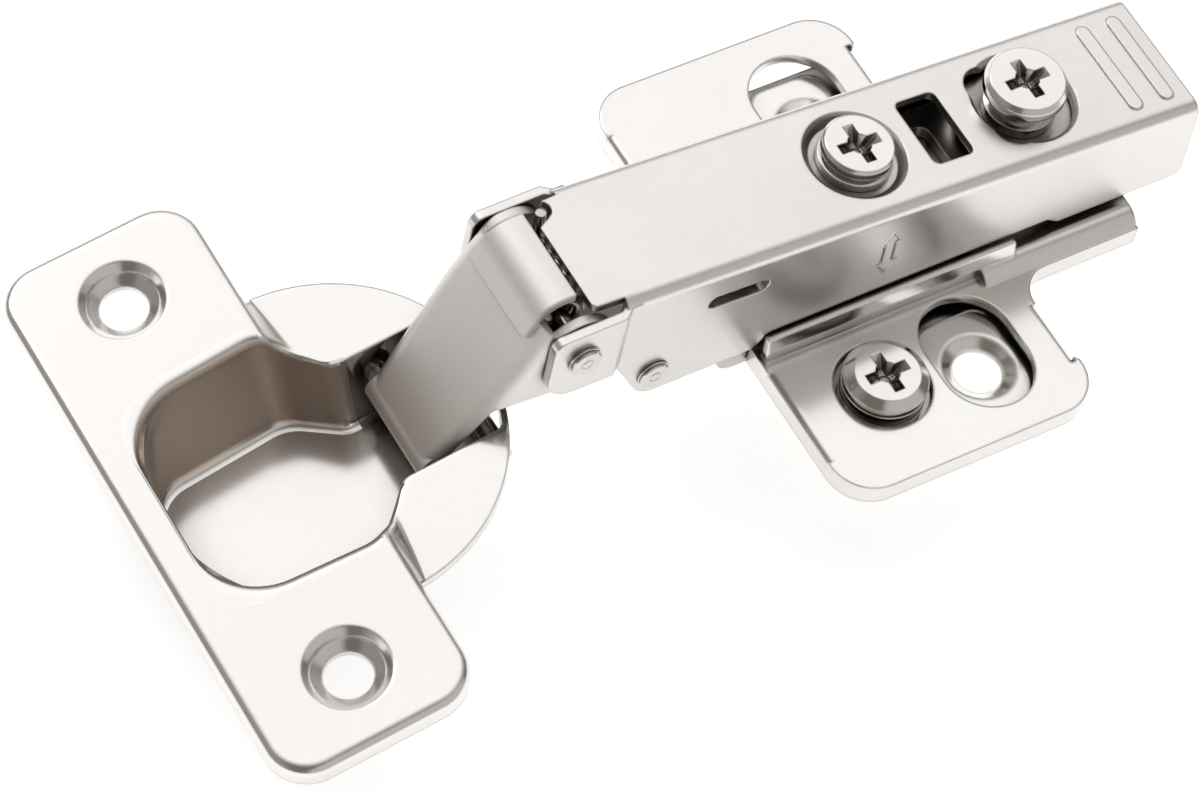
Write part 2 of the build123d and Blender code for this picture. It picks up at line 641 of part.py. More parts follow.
def rocker_height():
    """Height of the axis that the arm tilts about."""
    return arm_top(TILT_X) - ARM_SHEET - RUNNING_GAP - ROCKER_R


def depth_washer():
    """Washer with a half-round ridge on each side, which the arm rocks on."""
    low, high = washer_low() + 0.02, washer_low() + WASHER_THICK
    washer = upright(WASHER_R, low, high, x=TILT_X)
    foot = (TILT_X - ROCKER_FOOT, TILT_X + ROCKER_FOOT)
    washer += block(foot, (-ROCKER_SPAN[1], ROCKER_SPAN[1]), (low, high))
    ridge = cross_pin((TILT_X, rocker_height()), ROCKER_R, ROCKER_SPAN[1])
    ridge -= block(foot, (-ROCKER_SPAN[0], ROCKER_SPAN[0]), (high, TALL))
    washer += ridge
    return washer - upright(DEPTH_JOURNAL_R + RUNNING_GAP, 0, TALL, x=TILT_X)


def depth_screw():
    """Cam screw: its eccentric pin stands in the carrier's cross slot."""
    seat = washer_low() + WASHER_THICK + RUNNING_GAP
    foot = CARRIER_TOP + RUNNING_GAP
    head_low = DEPTH_HEAD_Z - 1.9
    points = (
        (0, foot), (DEPTH_JOURNAL_R, foot), (DEPTH_JOURNAL_R, seat),
        (DEPTH_BODY_R, seat), (DEPTH_BODY_R, seat + 1.2), (3.0, seat + 1.5),
        (3.0, head_low - 0.4), (3.45, head_low), (DEPTH_RIM_R, head_low + 0.35),
        (DEPTH_RIM_R, DEPTH_HEAD_Z - 0.6),
        (DEPTH_HEAD_R, DEPTH_HEAD_Z), (0, DEPTH_HEAD_Z),
    )
    screw = turned(points) - cross_recess(DEPTH_HEAD_Z)
    pin_low = CARRIER_TOP - CARRIER_SHEET - 0.4
    screw += upright(DEPTH_PIN_R, pin_low, foot + 0.01, y=DEPTH_TRAVEL)
    return Pos(TILT_X, 0, 0) * screw


def overlay_screw():
    """Held by its groove in the arm's dimple, threaded through the slide's collar."""
    floor = -DIMPLE_DEPTH
    under = floor - ARM_SHEET
    gap = RUNNING_GAP
    points = (
        (0, OVERLAY_HEAD_TOP), (OVERLAY_HEAD_R - 0.25, OVERLAY_HEAD_TOP),
        (OVERLAY_HEAD_R, OVERLAY_HEAD_TOP - 0.25), (OVERLAY_HEAD_R, 0.75),
        (OVERLAY_HEAD_R - 0.45, 0.45), (OVERLAY_HEAD_R - 0.45, 0.1),
        (OVERLAY_HEAD_R + 0.15, -0.1), (OVERLAY_HEAD_R + 0.15, floor + gap),
        (DIMPLE_HOLE_R - gap, floor + gap), (DIMPLE_HOLE_R - gap, under - gap),
        (3.5, under - gap), (3.5, under - 0.6), (OVERLAY_THREAD_R, under - 0.7),
        (OVERLAY_THREAD_R, -OVERLAY_LENGTH + 0.5), (OVERLAY_THREAD_R - 0.5, -OVERLAY_LENGTH),
        (0, -OVERLAY_LENGTH),
    )
    return on_arm(turned(points) - cross_recess(OVERLAY_HEAD_TOP), DIMPLE_X)


# ---------------------------------------------------------------- arm
def arm_side():
    """Side view of the channel part of the arm, as (x, z)."""
    lean = math.tan(math.radians(ARM_SLOPE))
    rear_top = ARM_REAR - (arm_top(ARM_REAR) + 2 - REAR_FOOT) * lean
    points = [
        (ARM_CHANNEL_FRONT, arm_top(ARM_CHANNEL_FRONT) + 2), (rear_top, arm_top(rear_top) + 2),
        (ARM_REAR, REAR_FOOT), (RECESS_REAR + 0.9, REAR_FOOT + 0.1),
        (RECESS_REAR - 0.6, RECESS_FOOT), (RECESS_FRONT + 1.6, RECESS_FOOT - 0.1),
        (RECESS_FRONT, FRONT_FOOT), (REAR_PIN[0] - 0.9, FRONT_FOOT - 0.1),
        (ARM_CHANNEL_FRONT + 0.8, EAR_BOTTOM - 1.3), (ARM_CHANNEL_FRONT, EAR_BOTTOM),
    ]
    return outline(points, [0, 0, 1.0, 0.6, 0.6, 1.0, 0.8, 3.2, 1.0, 0])


def ear_side():
    rear = ARM_CHANNEL_FRONT + 1.6
    points = [(EAR_FRONT, EAR_TOP), (EAR_FRONT, EAR_BOTTOM),
              (rear, EAR_BOTTOM), (rear, EAR_TOP + 0.3)]
    return outline(points, [1.3, EAR_CORNER, 0, 0])


def joggled_wall():
    """Plan of one side wall where it steps outward into the ear, as (x, y)."""
    step_rear = ARM_CHANNEL_FRONT + 0.5
    step_front = step_rear - 1.1
    front = EAR_FRONT - 1
    rear = ARM_CHANNEL_FRONT + 2.5
    points = [(rear, ARM_INNER_HALF), (step_rear, ARM_INNER_HALF),
              (step_front, EAR_INNER_HALF), (front, EAR_INNER_HALF), (front, EAR_HALF),
              (step_front, EAR_HALF), (step_rear, ARM_HALF), (rear, ARM_HALF)]
    return extrude(outline(points, [0, 0.4, 0.4, 0, 0, 0.4, 0.4, 0]), TALL)


def arm_section(half, drop, radius):
    """Cross-section of the channel about its own top line, as (y, z)."""
    points = [(-half, -TALL), (-half, -drop), (half, -drop), (half, -TALL)]
    return outline(points, [0, radius, radius, 0])


def arm():
    length = ARM_REAR - EAR_FRONT + 8
    start = EAR_FRONT - 2
    tilt = Pos(0, 0, ARM_TOP_AT_ORIGIN) * Rot(0, ARM_SLOPE, 0)
    solid = Pos(start, 0, 0) * extrude(Plane.YZ * arm_section(ARM_HALF, 0, ARM_BEND), length)
    hollow = Pos(start, 0, 0) * extrude(
        Plane.YZ * arm_section(ARM_INNER_HALF, ARM_SHEET, ARM_BEND - ARM_SHEET + 0.1), length)
    channel = tilt * (solid - hollow)
    body = channel & side_plate(arm_side(), ARM_HALF + 1)
    # top plate running forward between the ears
    slab = tilt * block((start, 0), (-TONGUE_HALF - 1, TONGUE_HALF + 1), (-ARM_SHEET, 0))
    peg_x = FRONT_PIN[0] + SPRING_COIL_R
    tongue_face = outline(
        [(ARM_FRONT, -TONGUE_HALF), (ARM_CHANNEL_FRONT + 1, -TONGUE_HALF),
         (ARM_CHANNEL_FRONT + 1, TONGUE_HALF), (peg_x + 0.3, TONGUE_HALF - 0.3),
         (peg_x + 0.3, SPRING_PEG_Y - 1.0), (ARM_FRONT, TONGUE_HALF - 3.0)],
        [0.6, 0, 0, 0.4, 0, 0.2],
    )
    peg_room = upright(SPRING_WIRE_R + 0.45, 0, TALL, x=peg_x, y=SPRING_PEG_Y)
    tongue = (slab & extrude(tongue_face, TALL)) - peg_room
    body += tongue
    # ears
    wall = joggled_wall() & side_plate(ear_side(), EAR_HALF + 1)
    body += wall + mirror(wall, about=Plane.XZ)
    # dimple of the overlay screw, pressed down into the top
    pressed = Cone(DIMPLE_R - 0.2, DIMPLE_R + 0.9, DIMPLE_DEPTH)
    body += on_arm(Pos(0, 0, -ARM_SHEET - DIMPLE_DEPTH / 2) * pressed, DIMPLE_X)
    recess = turned(((0, 1), (DIMPLE_R + 0.35, 1), (DIMPLE_R + 0.35, 0), (DIMPLE_R, -0.35),
                     (DIMPLE_R - 0.5, -DIMPLE_DEPTH), (0, -DIMPLE_DEPTH)))
    body -= on_arm(recess, DIMPLE_X)
    body -= on_arm(upright(DIMPLE_HOLE_R, -5, 5), DIMPLE_X)
    # keyhole of the depth screw, with its lug
    keyhole = turned(((0, 1), (KEYHOLE_R + 0.45, 1), (KEYHOLE_R + 0.45, 0),
                      (KEYHOLE_R, -0.45), (KEYHOLE_R, -3), (0, -3)))
    body -= on_arm(keyhole, KEYHOLE_X)
    lug_x, lug_y, lug_r = KEYHOLE_LUG
    for side in (-1, 1):
        body -= on_arm(upright(lug_r, -3, 1), lug_x, side * lug_y)
    # window
    front, rear = ARM_WINDOW
    window = outline([(front, -ARM_WINDOW_HALF), (rear, -ARM_WINDOW_HALF),
                      (rear, ARM_WINDOW_HALF), (front, ARM_WINDOW_HALF)], ARM_WINDOW_CORNER)
    body -= on_arm(Pos(0, 0, -3) * extrude(window, 5), 0)
    # stiffening ribs near the rear
    for low, high in RIB_SPANS:
        width = high - low
        rib = SlotOverall(2 * RIB_HALF, width, rotation=90)
        raised = extrude(rib, RIB_HEIGHT + 0.3, taper=8)
        body += on_arm(Pos(0, 0, -0.3) * raised, (low + high) / 2)
    # slots in the side walls
    slot = SlotOverall(SLOT_LENGTH, SLOT_HEIGHT)
    slot = Pos(*SLOT_CENTRE) * Rot(0, 0, -ARM_SLOPE) * slot
    body -= side_plate(slot, ARM_HALF + 1)
    # pivot holes
    body -= cross_pin(FRONT_PIN, PIVOT_R, EAR_HALF + 1)
    body -= cross_pin(REAR_PIN, PIVOT_R, EAR_HALF + 1)
    return body


def front_rivet():
    return riveted_pin(FRONT_PIN, EAR_HALF, PIVOT_HEAD)


def rear_rivet():
    return riveted_pin(REAR_PIN, ARM_HALF, REAR_PIVOT_HEAD)


def closing_spring():
    """Torsion spring on the front rivet, one end hooked in the arm's notch."""
    x, z = FRONT_PIN
    peg_top = arm_top(x + SPRING_COIL_R) - SPRING_PEG_SINK
    peg = peg_top - z
    lean = math.atan2(SPRING_PITCH, 2 * math.pi * SPRING_COIL_R)
    coil_start = SPRING_PEG_Y - peg * math.sin(lean)
    # the wire comes down from the peg, winds toward -Y and leaves upward behind the lip
    spring = coil_spring(SPRING_COIL_R, SPRING_WIRE_R, SPRING_PITCH, SPRING_TURNS,
                         peg / math.cos(lean), SPRING_LEG, lefthand=True)
    return Pos(x, coil_start, z) * Rot(90, 0, 0) * spring


# ---------------------------------------------------------------- links
def link_frame():
    """Rest place of the outer link: its length runs down the face, w points outward."""
    pin_x, pin_z = cup_point(CUP_PIN)
    dx, dz = pin_x - FRONT_PIN[0], pin_z - FRONT_PIN[1]
    span = math.hypot(dx, dz)
    rise = LINK_FACE_TO_FRONT_PIN - LINK_FACE_TO_CUP_PIN
    along = math.sqrt(span ** 2 - rise ** 2)
    # the cup pin stands at (along, rise) in the link's own frame
    turn = math.atan2(dz, dx) - math.atan2(-rise, along)
    return along, math.degrees(turn)


def in_link(shape):
    """Place a shape drawn with x down the face and -z outward from it."""
    turn = link_frame()[1]
    return Pos(FRONT_PIN[0], 0, FRONT_PIN[1]) * Rot(0, -turn, 0) * shape


def outer_link():
    along = link_frame()[0]
    face = -LINK_FACE_TO_FRONT_PIN
    knuckle = (along, face + LINK_FACE_TO_CUP_PIN)
    end = along + LINK_FACE_TO_CUP_PIN
    taper_start = LINK_EYE_R + 0.6

    def plan(inset, end_inset):
        wide = CHEEK_HALF - inset
        narrow = LINK_END_HALF - inset
        top = -LINK_EYE_R - 2
        return outline([(top, -wide), (taper_start, -wide), (end + end_inset, -narrow),
                        (end + end_inset, narrow), (taper_start, wide), (top, wide)],
                       [0, 3.0, 0, 0, 3.0, 0])

    deep = LINK_EYE_R + 3
    outer = Pos(0, 0, face) * extrude(plan(0, 0), deep - face)
    inner = Pos(0, 0, face + LINK_SHEET) * extrude(plan(LINK_CHEEK, 5), TALL)
    shell = outer - inner
    # side view: eye round the front pin, cheek, and the thin lower strip
    bend_start = -(LINK_LIP_RISE - LINK_LIP_BEND * math.tan(math.radians(LINK_LIP_TURN / 2)))
    cheek = outline(
        [(bend_start, face), (along, face), (along, face + LINK_SHEET + 0.05),
         (9.2, face + LINK_SHEET + 0.05), (5.3, LINK_EYE_R - 0.6), (0, LINK_EYE_R),
         (bend_start, 0)],
        [0, 0, 0, 1.0, 2.5, 0, 0],
    )
    side = cheek + Circle(LINK_EYE_R)
    body = shell & side_plate(side, CHEEK_HALF + 1)
    body &= in_fold_envelope(along, face, taper_start, end, deep)
    # lip: the face bends over towards the arm at its top
    lean = math.radians(LINK_LIP_TURN)
    corner = (-LINK_LIP_RISE, face)
    tip = (corner[0] - LINK_LIP_LENGTH * math.cos(lean), face + LINK_LIP_LENGTH * math.sin(lean))
    lip_line = FilletPolyline((bend_start + 2, face), corner, tip, radius=LINK_LIP_BEND)
    lip_outer = side_plate(thick_strip(lip_line, LINK_SHEET), LINK_LIP_HALF)
    body -= block((-TALL, bend_start - 0.01), (-CHEEK_HALF + LINK_CHEEK, CHEEK_HALF - LINK_CHEEK),
                  (face - 1, face + 2.6))
    body += lip_outer
    # knuckle curled round the cup pin
    curl_r = LINK_FACE_TO_CUP_PIN + KNUCKLE_SWELL
    ring = Circle(curl_r) - Circle(CUP_PIN_R + RUNNING_GAP)
    mouth_low = LINK_SHEET - LINK_FACE_TO_CUP_PIN + 0.05
    mouth = Pos(-curl_r, mouth_low + KNUCKLE_MOUTH / 2) * Rectangle(2 * curl_r, KNUCKLE_MOUTH)
    body += side_plate(Pos(*knuckle) * (ring - mouth), LINK_END_HALF - KNUCKLE_INSET)
    body -= cross_pin((0, 0), PIVOT_R + RUNNING_GAP, CHEEK_HALF + 1)
    body -= cross_pin(knuckle, CUP_PIN_R + RUNNING_GAP, CHEEK_HALF + 1)
    return in_link(body)


def in_fold_envelope(along, face, taper_start, end, deep):
    """Rounds the folds between the face and its sides, following the taper."""
    sections = []
    for x, half in ((-LINK_EYE_R - 2, CHEEK_HALF), (taper_start, CHEEK_HALF), (end, LINK_END_HALF)):
        points = [(-half, face), (half, face), (half, deep), (-half, deep)]
        rounded = outline(points, [LINK_FOLD, LINK_FOLD, 0, 0])
        sections.append(Plane((x, 0, 0), x_dir=(0, 1, 0), z_dir=(1, 0, 0)) * rounded)
    return loft(sections, ruled=True)


def thick_strip(line, thickness):
    """A strip of sheet on the inner side of a bent line, both drawn as (x, z)."""
    inner = offset(line, amount=thickness, side=Side.LEFT, closed=True)
    return make_face(inner)


def inner_link():
    """Cranked bar that reaches over the edge of the cup's bore."""
    x, z = cup_point(INNER_CUP_PIN)
    eye = (REAR_PIN[0] + INNER_SLOT_SHIFT[0], REAR_PIN[1] + INNER_SLOT_SHIFT[1])
    rise = (x + INNER_RISE[0], z + INNER_RISE[1])
    crest = (x + INNER_CREST[0], z + INNER_CREST[1])
    line = FilletPolyline((x, z), rise, crest, eye, radius=[INNER_BEND, INNER_BEND])
    bar = trace(line, INNER_THICK)
    slot_outer = INNER_SLOT_R + INNER_SLOT_WALL
    side = bar + Pos(x, z) * Circle(INNER_EYE_R)
    side += Pos(*eye) * SlotOverall(2 * (slot_outer + INNER_SLOT_STRETCH), 2 * slot_outer)
    side -= Pos(x, z) * Circle(INNER_PIN_R + RUNNING_GAP)
    side -= Pos(*eye) * SlotOverall(2 * (INNER_SLOT_R + INNER_SLOT_STRETCH), 2 * INNER_SLOT_R)
    return side_plate(side, INNER_HALF)


# ---------------------------------------------------------------- cup
def cavity_outline(shrink):
    """Plan of the cavity, as (u, v), moved in from the rim by shrink."""
    front = CAVITY_FRONT_U + shrink * CAVITY_FRONT_DRAFT / CAVITY_DRAFT
    half = CAVITY_HALF - shrink * 1.15
    neck = NECK_HALF - shrink * 0.5
    shoulder = CAVITY_SHOULDER_U - shrink * 0.15
    upper = [(front, half - 0.9), (shoulder, half), (NECK_U, neck), (NECK_END_U, neck)]
    lower = [(u, -v) for u, v in reversed(upper)]
    radii = [CAVITY_CORNER - shrink * 0.4, 1.6, 2.6, 2.0]
    return outline(upper + lower, radii + list(reversed(radii)))


def cup_cavity():
    """The pocket: drafted walls, ending at the bore on the arm's side."""
    over = 0.5
    per_depth = CAVITY_DRAFT / CUP_DEPTH
    top = Pos(0, 0, over) * cavity_outline(-over * per_depth)
    floor = Pos(0, 0, -CUP_DEPTH) * cavity_outline(CAVITY_DRAFT)
    pocket = loft([Sketch() + top, Sketch() + floor])
    side = outline(
        [(-TALL, over), (TALL, over), (TALL, -6.0), (CUP_CENTRE_U + CUP_BORE_R - 1.0, -8.5),
         (FLOOR_END_U, -CUP_DEPTH), (-TALL, -CUP_DEPTH)],
        [0, 0, 0, 2.0, 3.0, 0],
    )
    bore_room = upright(CUP_BORE_R - 0.1 - CUP_WALL, -TALL, TALL, x=CUP_CENTRE_U)
    return pocket & side_plate(side, TALL) & bore_room


def rim_flare(level):
    """Rounds the pocket's mouth where its wall runs out into a face at level."""
    per_depth = CAVITY_DRAFT / CUP_DEPTH
    sections = []
    for angle in (0, 30, 60, 90):
        reach = CAVITY_RIM * (1 - math.cos(math.radians(angle)))
        depth = CAVITY_RIM * (1 - math.sin(math.radians(angle)))
        shrink = (depth - level) * per_depth
        sections.append(Sketch() + Pos(0, 0, level - depth) * cavity_outline(shrink - reach))
    return loft(sections, ruled=True)


def cup_body():
    """Outside of the pocket below the flange."""
    sheet = CUP_SHEET
    top = Pos(0, 0, -0.2) * cavity_outline(-sheet)
    floor = Pos(0, 0, -CUP_DEPTH - sheet) * cavity_outline(CAVITY_DRAFT - sheet)
    shell = loft([Sketch() + top, Sketch() + floor])
    side = outline(
        [(-TALL, 1), (TALL, 1), (TALL, -6.5), (CUP_CENTRE_U + CUP_BORE_R, -9.0),
         (FLOOR_END_U + 0.6 * sheet, -CUP_DEPTH - sheet), (-TALL, -CUP_DEPTH - sheet)],
        [0, 0, 0, 3.0, 4.0, 0],
    )
    bore_room = upright(CUP_BORE_R - 0.1, -TALL, TALL, x=CUP_CENTRE_U)
    return shell & side_plate(side, TALL) & bore_room


def cup():
    half = FLANGE_LENGTH / 2
    corners = [(FLANGE_FRONT_U, -half), (FLANGE_REAR_U, -half),
               (FLANGE_REAR_U, half), (FLANGE_FRONT_U, half)]
    tray = Pos(0, 0, -FLANGE_HEIGHT) * extrude(outline(corners, FLANGE_CORNER), FLANGE_HEIGHT)
    tray = fillet(tray.edges().group_by(Axis.Z)[-1], FLANGE_EDGE)
    under_corners = [(FLANGE_FRONT_U + CUP_SHEET, CUP_SHEET - half),
                     (FLANGE_REAR_U - CUP_SHEET, CUP_SHEET - half),
                     (FLANGE_REAR_U - CUP_SHEET, half - CUP_SHEET),
                     (FLANGE_FRONT_U + CUP_SHEET, half - CUP_SHEET)]
    under = Pos(0, 0, -FLANGE_HEIGHT - 1) * extrude(
        outline(under_corners, FLANGE_CORNER - CUP_SHEET), FLANGE_HEIGHT + 1 - CUP_SHEET)
    ledge = upright(CUP_BORE_R, LEDGE_TOP - CUP_SHEET, LEDGE_TOP, x=CUP_CENTRE_U)
    ledge -= block((-TALL, FLANGE_REAR_U - CUP_SHEET), (-TALL, TALL), (-TALL, TALL))
    step_half = CUP_BORE_R * 0.8
    step = block((FLANGE_REAR_U - CUP_SHEET, FLANGE_REAR_U + STEP_REACH), (-step_half, step_half),
                 (LEDGE_TOP - CUP_SHEET, LEDGE_TOP + STEP_RISE))
    body = (tray - under) + ledge + step
    # dished screw holes
    for side in (-1, 1):
        y = side * CUP_SCREW_SPACING / 2
        seat = -SCREW_SINK_DEPTH + 0.35
        boss = upright(SCREW_SEAT_R + 0.75, -FLANGE_HEIGHT, -CUP_SHEET + 0.2, y=y)
        body += boss
        dish = turned(
            ((0, 1), (SCREW_SINK_R, 1), (SCREW_SINK_R, 0), (SCREW_SEAT_R, -0.75),
             (SCREW_SEAT_R - 0.15, seat + 0.4), (SCREW_HOLE_R, -SCREW_SINK_DEPTH), (0, -SCREW_SINK_DEPTH)),
            (0, y),
        )
        body -= dish
        body -= upright(SCREW_HOLE_R, -5, 1, y=y)
    body += cup_body() & (
        block((-TALL, FLANGE_REAR_U - CUP_SHEET), (-TALL, TALL), (-TALL, -CUP_SHEET / 2))
        + block((-TALL, TALL), (-TALL, TALL), (-TALL, LEDGE_TOP - CUP_SHEET / 2)))
    body -= cup_cavity()
    body -= rim_flare(0.0) & block((-TALL, FLANGE_REAR_U - CUP_SHEET), (-TALL, TALL), (-TALL, TALL))
    body -= rim_flare(LEDGE_TOP) & block((FLANGE_REAR_U, NECK_U), (-TALL, TALL), (-TALL, TALL))
    # the neck's end is open above the inner link's eye
    body -= block((NECK_END_U - 3.2, TALL), (-INNER_HALF - 0.7, INNER_HALF + 0.7),
                  (INNER_CUP_PIN[1] - INNER_EYE_R - 0.6, 2))
    for point, radius in ((CUP_PIN, CUP_PIN_R), (INNER_CUP_PIN, INNER_PIN_R)):
        body -= cross_pin(point, radius, TALL)
    return on_cup(body)


def outer_link_pin():
    """Pin across the neck, headed outside its walls."""
    half = NECK_HALF + CUP_SHEET + CUP_PIN_PROUD
    pin = cross_pin(CUP_PIN, CUP_PIN_R, half)
    for side in (-1, 1):
        head = cross_pin(CUP_PIN, CUP_PIN_R + CUP_PIN_LIP, CUP_PIN_LIP)
        pin += Pos(0, side * (half - CUP_PIN_LIP), 0) * head
    return on_cup(pin)


def inner_link_pin():
    """Plain pin right under the ledge."""
    return on_cup(cross_pin(INNER_CUP_PIN, INNER_PIN_R, NECK_HALF + CUP_SHEET + CUP_PIN_PROUD))


# ---------------------------------------------------------------- write out
FIXED = {"plate_lower": plate_lower, "guide_rivets": guide_rivets}
ON_ARM_PLANE = {
    "plate_upper": plate_upper, "height_cam_screw": height_cam_screw,
    "carrier": carrier, "hook_pin": hook_pin, "latch_pin": latch_pin,
    "latch_lever": latch_lever, "latch_spring": latch_spring,
    "adjusting_slide": adjusting_slide, "depth_washer": depth_washer,
    "depth_screw": depth_screw, "overlay_screw": overlay_screw,
    "arm": arm, "front_rivet": front_rivet, "rear_rivet": rear_rivet,
    "closing_spring": closing_spring, "outer_link": outer_link, "inner_link": inner_link,
    "cup": cup, "outer_link_pin": outer_link_pin, "inner_link_pin": inner_link_pin,
}

os.makedirs("parts", exist_ok=True)
for name, make in FIXED.items():
    export_step(make(), f"parts/{name}.step")
for name, make in ON_ARM_PLANE.items():
    export_step(Pos(0, HEIGHT_SET, 0) * make(), f"parts/{name}.step")
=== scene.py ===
import math

import bpy
from mathutils import Matrix, Vector


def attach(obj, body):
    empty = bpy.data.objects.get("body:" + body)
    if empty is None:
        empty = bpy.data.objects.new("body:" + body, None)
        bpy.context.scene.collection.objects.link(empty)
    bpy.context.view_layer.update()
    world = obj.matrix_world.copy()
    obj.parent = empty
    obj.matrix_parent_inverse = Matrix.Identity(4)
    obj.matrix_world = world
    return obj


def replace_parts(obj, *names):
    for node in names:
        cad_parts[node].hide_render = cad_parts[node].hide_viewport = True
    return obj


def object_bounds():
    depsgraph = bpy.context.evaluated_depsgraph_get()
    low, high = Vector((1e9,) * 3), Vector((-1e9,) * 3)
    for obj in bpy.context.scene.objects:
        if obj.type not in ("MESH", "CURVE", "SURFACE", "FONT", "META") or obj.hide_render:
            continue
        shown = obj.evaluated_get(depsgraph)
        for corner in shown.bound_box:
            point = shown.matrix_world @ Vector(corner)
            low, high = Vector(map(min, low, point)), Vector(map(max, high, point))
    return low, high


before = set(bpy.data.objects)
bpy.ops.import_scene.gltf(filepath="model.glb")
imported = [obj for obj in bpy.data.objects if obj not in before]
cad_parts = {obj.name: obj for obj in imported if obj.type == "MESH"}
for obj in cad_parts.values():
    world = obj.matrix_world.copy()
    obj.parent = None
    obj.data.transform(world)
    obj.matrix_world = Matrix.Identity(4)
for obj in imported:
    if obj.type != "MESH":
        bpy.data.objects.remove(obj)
cad_box = [list(corner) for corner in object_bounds()]

MM = 0.001

# ------------------------------------------------------------------ floor
FLOOR_GAP = 0.05 * MM           # keeps the paper off the lowest face
FLOOR_Z = cad_box[0][2] - FLOOR_GAP
FLOOR_REACH = 20.0              # metres, so no view from above looks past its end
FLOOR_GLOW = 0.62
FLOOR_FADE = (0.24, 0.45)       # metres from the hinge, the paper falls off into grey
FLOOR_FAR = (0.10, 0.095, 0.09)
PAPER = (0.86, 0.86, 0.855)
PAPER_GRAIN = (0.88, 0.88, 0.875)
GRAIN_SCALE = 900.0             # per metre

# ------------------------------------------------------------------ camera
CAMERA_PLACE = Vector((-225.82, -209.15, 397.09)) * MM
CAMERA_RIGHT = Vector((0.85411, -0.49797, 0.15007))
CAMERA_UP = Vector((0.34293, 0.75615, 0.55735))
CAMERA_BACK = Vector((-0.39102, -0.42457, 0.81661))
LENS_MM = 150.55
SENSOR_MM = 36.0
CLIP = (0.01, 100.0)            # metres


def add_camera():
    data = bpy.data.cameras.new("camera")
    data.sensor_width = SENSOR_MM
    data.lens = LENS_MM
    data.clip_start, data.clip_end = CLIP
    camera = bpy.data.objects.new("camera", data)
    bpy.context.scene.collection.objects.link(camera)
    columns = (CAMERA_RIGHT, CAMERA_UP, CAMERA_BACK)
    turn = Matrix([[column[row] for column in columns] for row in range(3)])
    camera.matrix_world = Matrix.Translation(CAMERA_PLACE) @ turn.to_4x4()
    bpy.context.scene.camera = camera


# ------------------------------------------------------------------ node helpers
BLACK = (0.0, 0.0, 0.0)
WHITE = (1.0, 1.0, 1.0)
NOISE_SPAN = (0.3, 0.7)         # where nearly all of a noise's values lie
CREVICE_SPAN = (0.25, 0.75)     # share of open sky, from darkest to clear
CREVICE_SAMPLES = 6


class Graph:
    """Short calls for building a node tree."""

    def __init__(self, tree):
        self.tree = tree
        tree.nodes.clear()

    def add(self, kind, **settings):
        node = self.tree.nodes.new(kind)
        for name, value in settings.items():
            setattr(node, name, value)
        return node

    def link(self, out, into):
        self.tree.links.new(out, into)

    def feed(self, socket, value):
        if isinstance(value, bpy.types.NodeSocket):
            self.link(value, socket)
        else:
            socket.default_value = value

    def math(self, operation, a, b):
        node = self.add("ShaderNodeMath", operation=operation)
        self.feed(node.inputs[0], a)
        self.feed(node.inputs[1], b)
        return node.outputs[0]

    def dot(self, a, direction):
        node = self.add("ShaderNodeVectorMath", operation="DOT_PRODUCT")
        self.feed(node.inputs[0], a)
        node.inputs[1].default_value = Vector(direction).normalized()
        return node.outputs["Value"]

    def ramp(self, factor, stops):
        """An eased ramp through (place, colour) stops."""
        node = self.add("ShaderNodeValToRGB")
        node.color_ramp.interpolation = "EASE"
        elements = node.color_ramp.elements
        while len(elements) < len(stops):
            elements.new(0.5)
        for element, (place, colour) in zip(elements, stops):
            element.position = place
            element.color = (*colour, 1.0)
        self.feed(node.inputs[0], factor)
        return node.outputs["Color"]

    def step(self, value, span, before, after):
        """One colour up to the span's start, another from its end on."""
        start, end = span
        return self.ramp(self.math("DIVIDE", value, end), ((start / end, before), (1.0, after)))

    def noise(self, vector, scale, detail, rough=0.5):
        node = self.add("ShaderNodeTexNoise")
        self.feed(node.inputs["Vector"], vector)
        node.inputs["Scale"].default_value = scale
        node.inputs["Detail"].default_value = detail
        node.inputs["Roughness"].default_value = rough
        return node.outputs[0]

    def spread(self, value, low, high, span=NOISE_SPAN):
        """Maps the span, a noise's own if none is given, to low..high and stays within them."""
        node = self.add("ShaderNodeMapRange")
        self.feed(node.inputs["Value"], value)
        ends = zip(("From Min", "From Max", "To Min", "To Max"), (*span, low, high))
        for name, end in ends:
            node.inputs[name].default_value = end
        return node.outputs["Result"]

    def painted_shade_mask(self, reach):
        """Mask for painted shade: 0 on open faces, 1 deep in corners and recesses."""
        node = self.add("ShaderNodeAmbientOcclusion", samples=CREVICE_SAMPLES)
        node.inputs["Distance"].default_value = reach
        return self.spread(node.outputs["AO"], 1.0, 0.0, CREVICE_SPAN)

    def mix(self, factor, a, b, blend="MIX"):
        node = self.add("ShaderNodeMix", data_type="RGBA", blend_type=blend)
        self.feed(node.inputs[0], factor)
        for index, value in ((6, a), (7, b)):       # the colour sockets A and B
            socket = isinstance(value, bpy.types.NodeSocket)
            self.feed(node.inputs[index], value if socket else (*value, 1.0))
        return node.outputs[2]


# ------------------------------------------------------------------ world
WALL_DARK = (0.20, 0.17, 0.145)      # warm dark room all round, down to the horizon
WALL_MID = (0.42, 0.395, 0.375)
SKY_SOFT = (0.86, 0.85, 0.835)
SKY_BRIGHT = (1.17, 1.165, 1.16)
SKY_AXIS = (0.22, 0.48, 0.85)        # the middle of the soft light overhead
SIDE_GREY = (0.33, 0.31, 0.30)       # a grey wall on the cup's side
SIDE_AXIS = (-0.93, 0.36, 0.05)
CARD_GREY = (0.56, 0.54, 0.52)       # a low card in front, past a dark gap
CARD_AXIS = (0.30, -0.92, 0.25)
SKY_STOPS = ((0.0, WALL_DARK), (0.50, WALL_DARK), (0.68, WALL_MID), (0.84, SKY_SOFT),
             (0.93, SKY_BRIGHT))
SIDE_STOPS = ((0.35, BLACK), (0.85, SIDE_GREY))
CARD_STOPS = ((0.48, BLACK), (0.76, CARD_GREY))


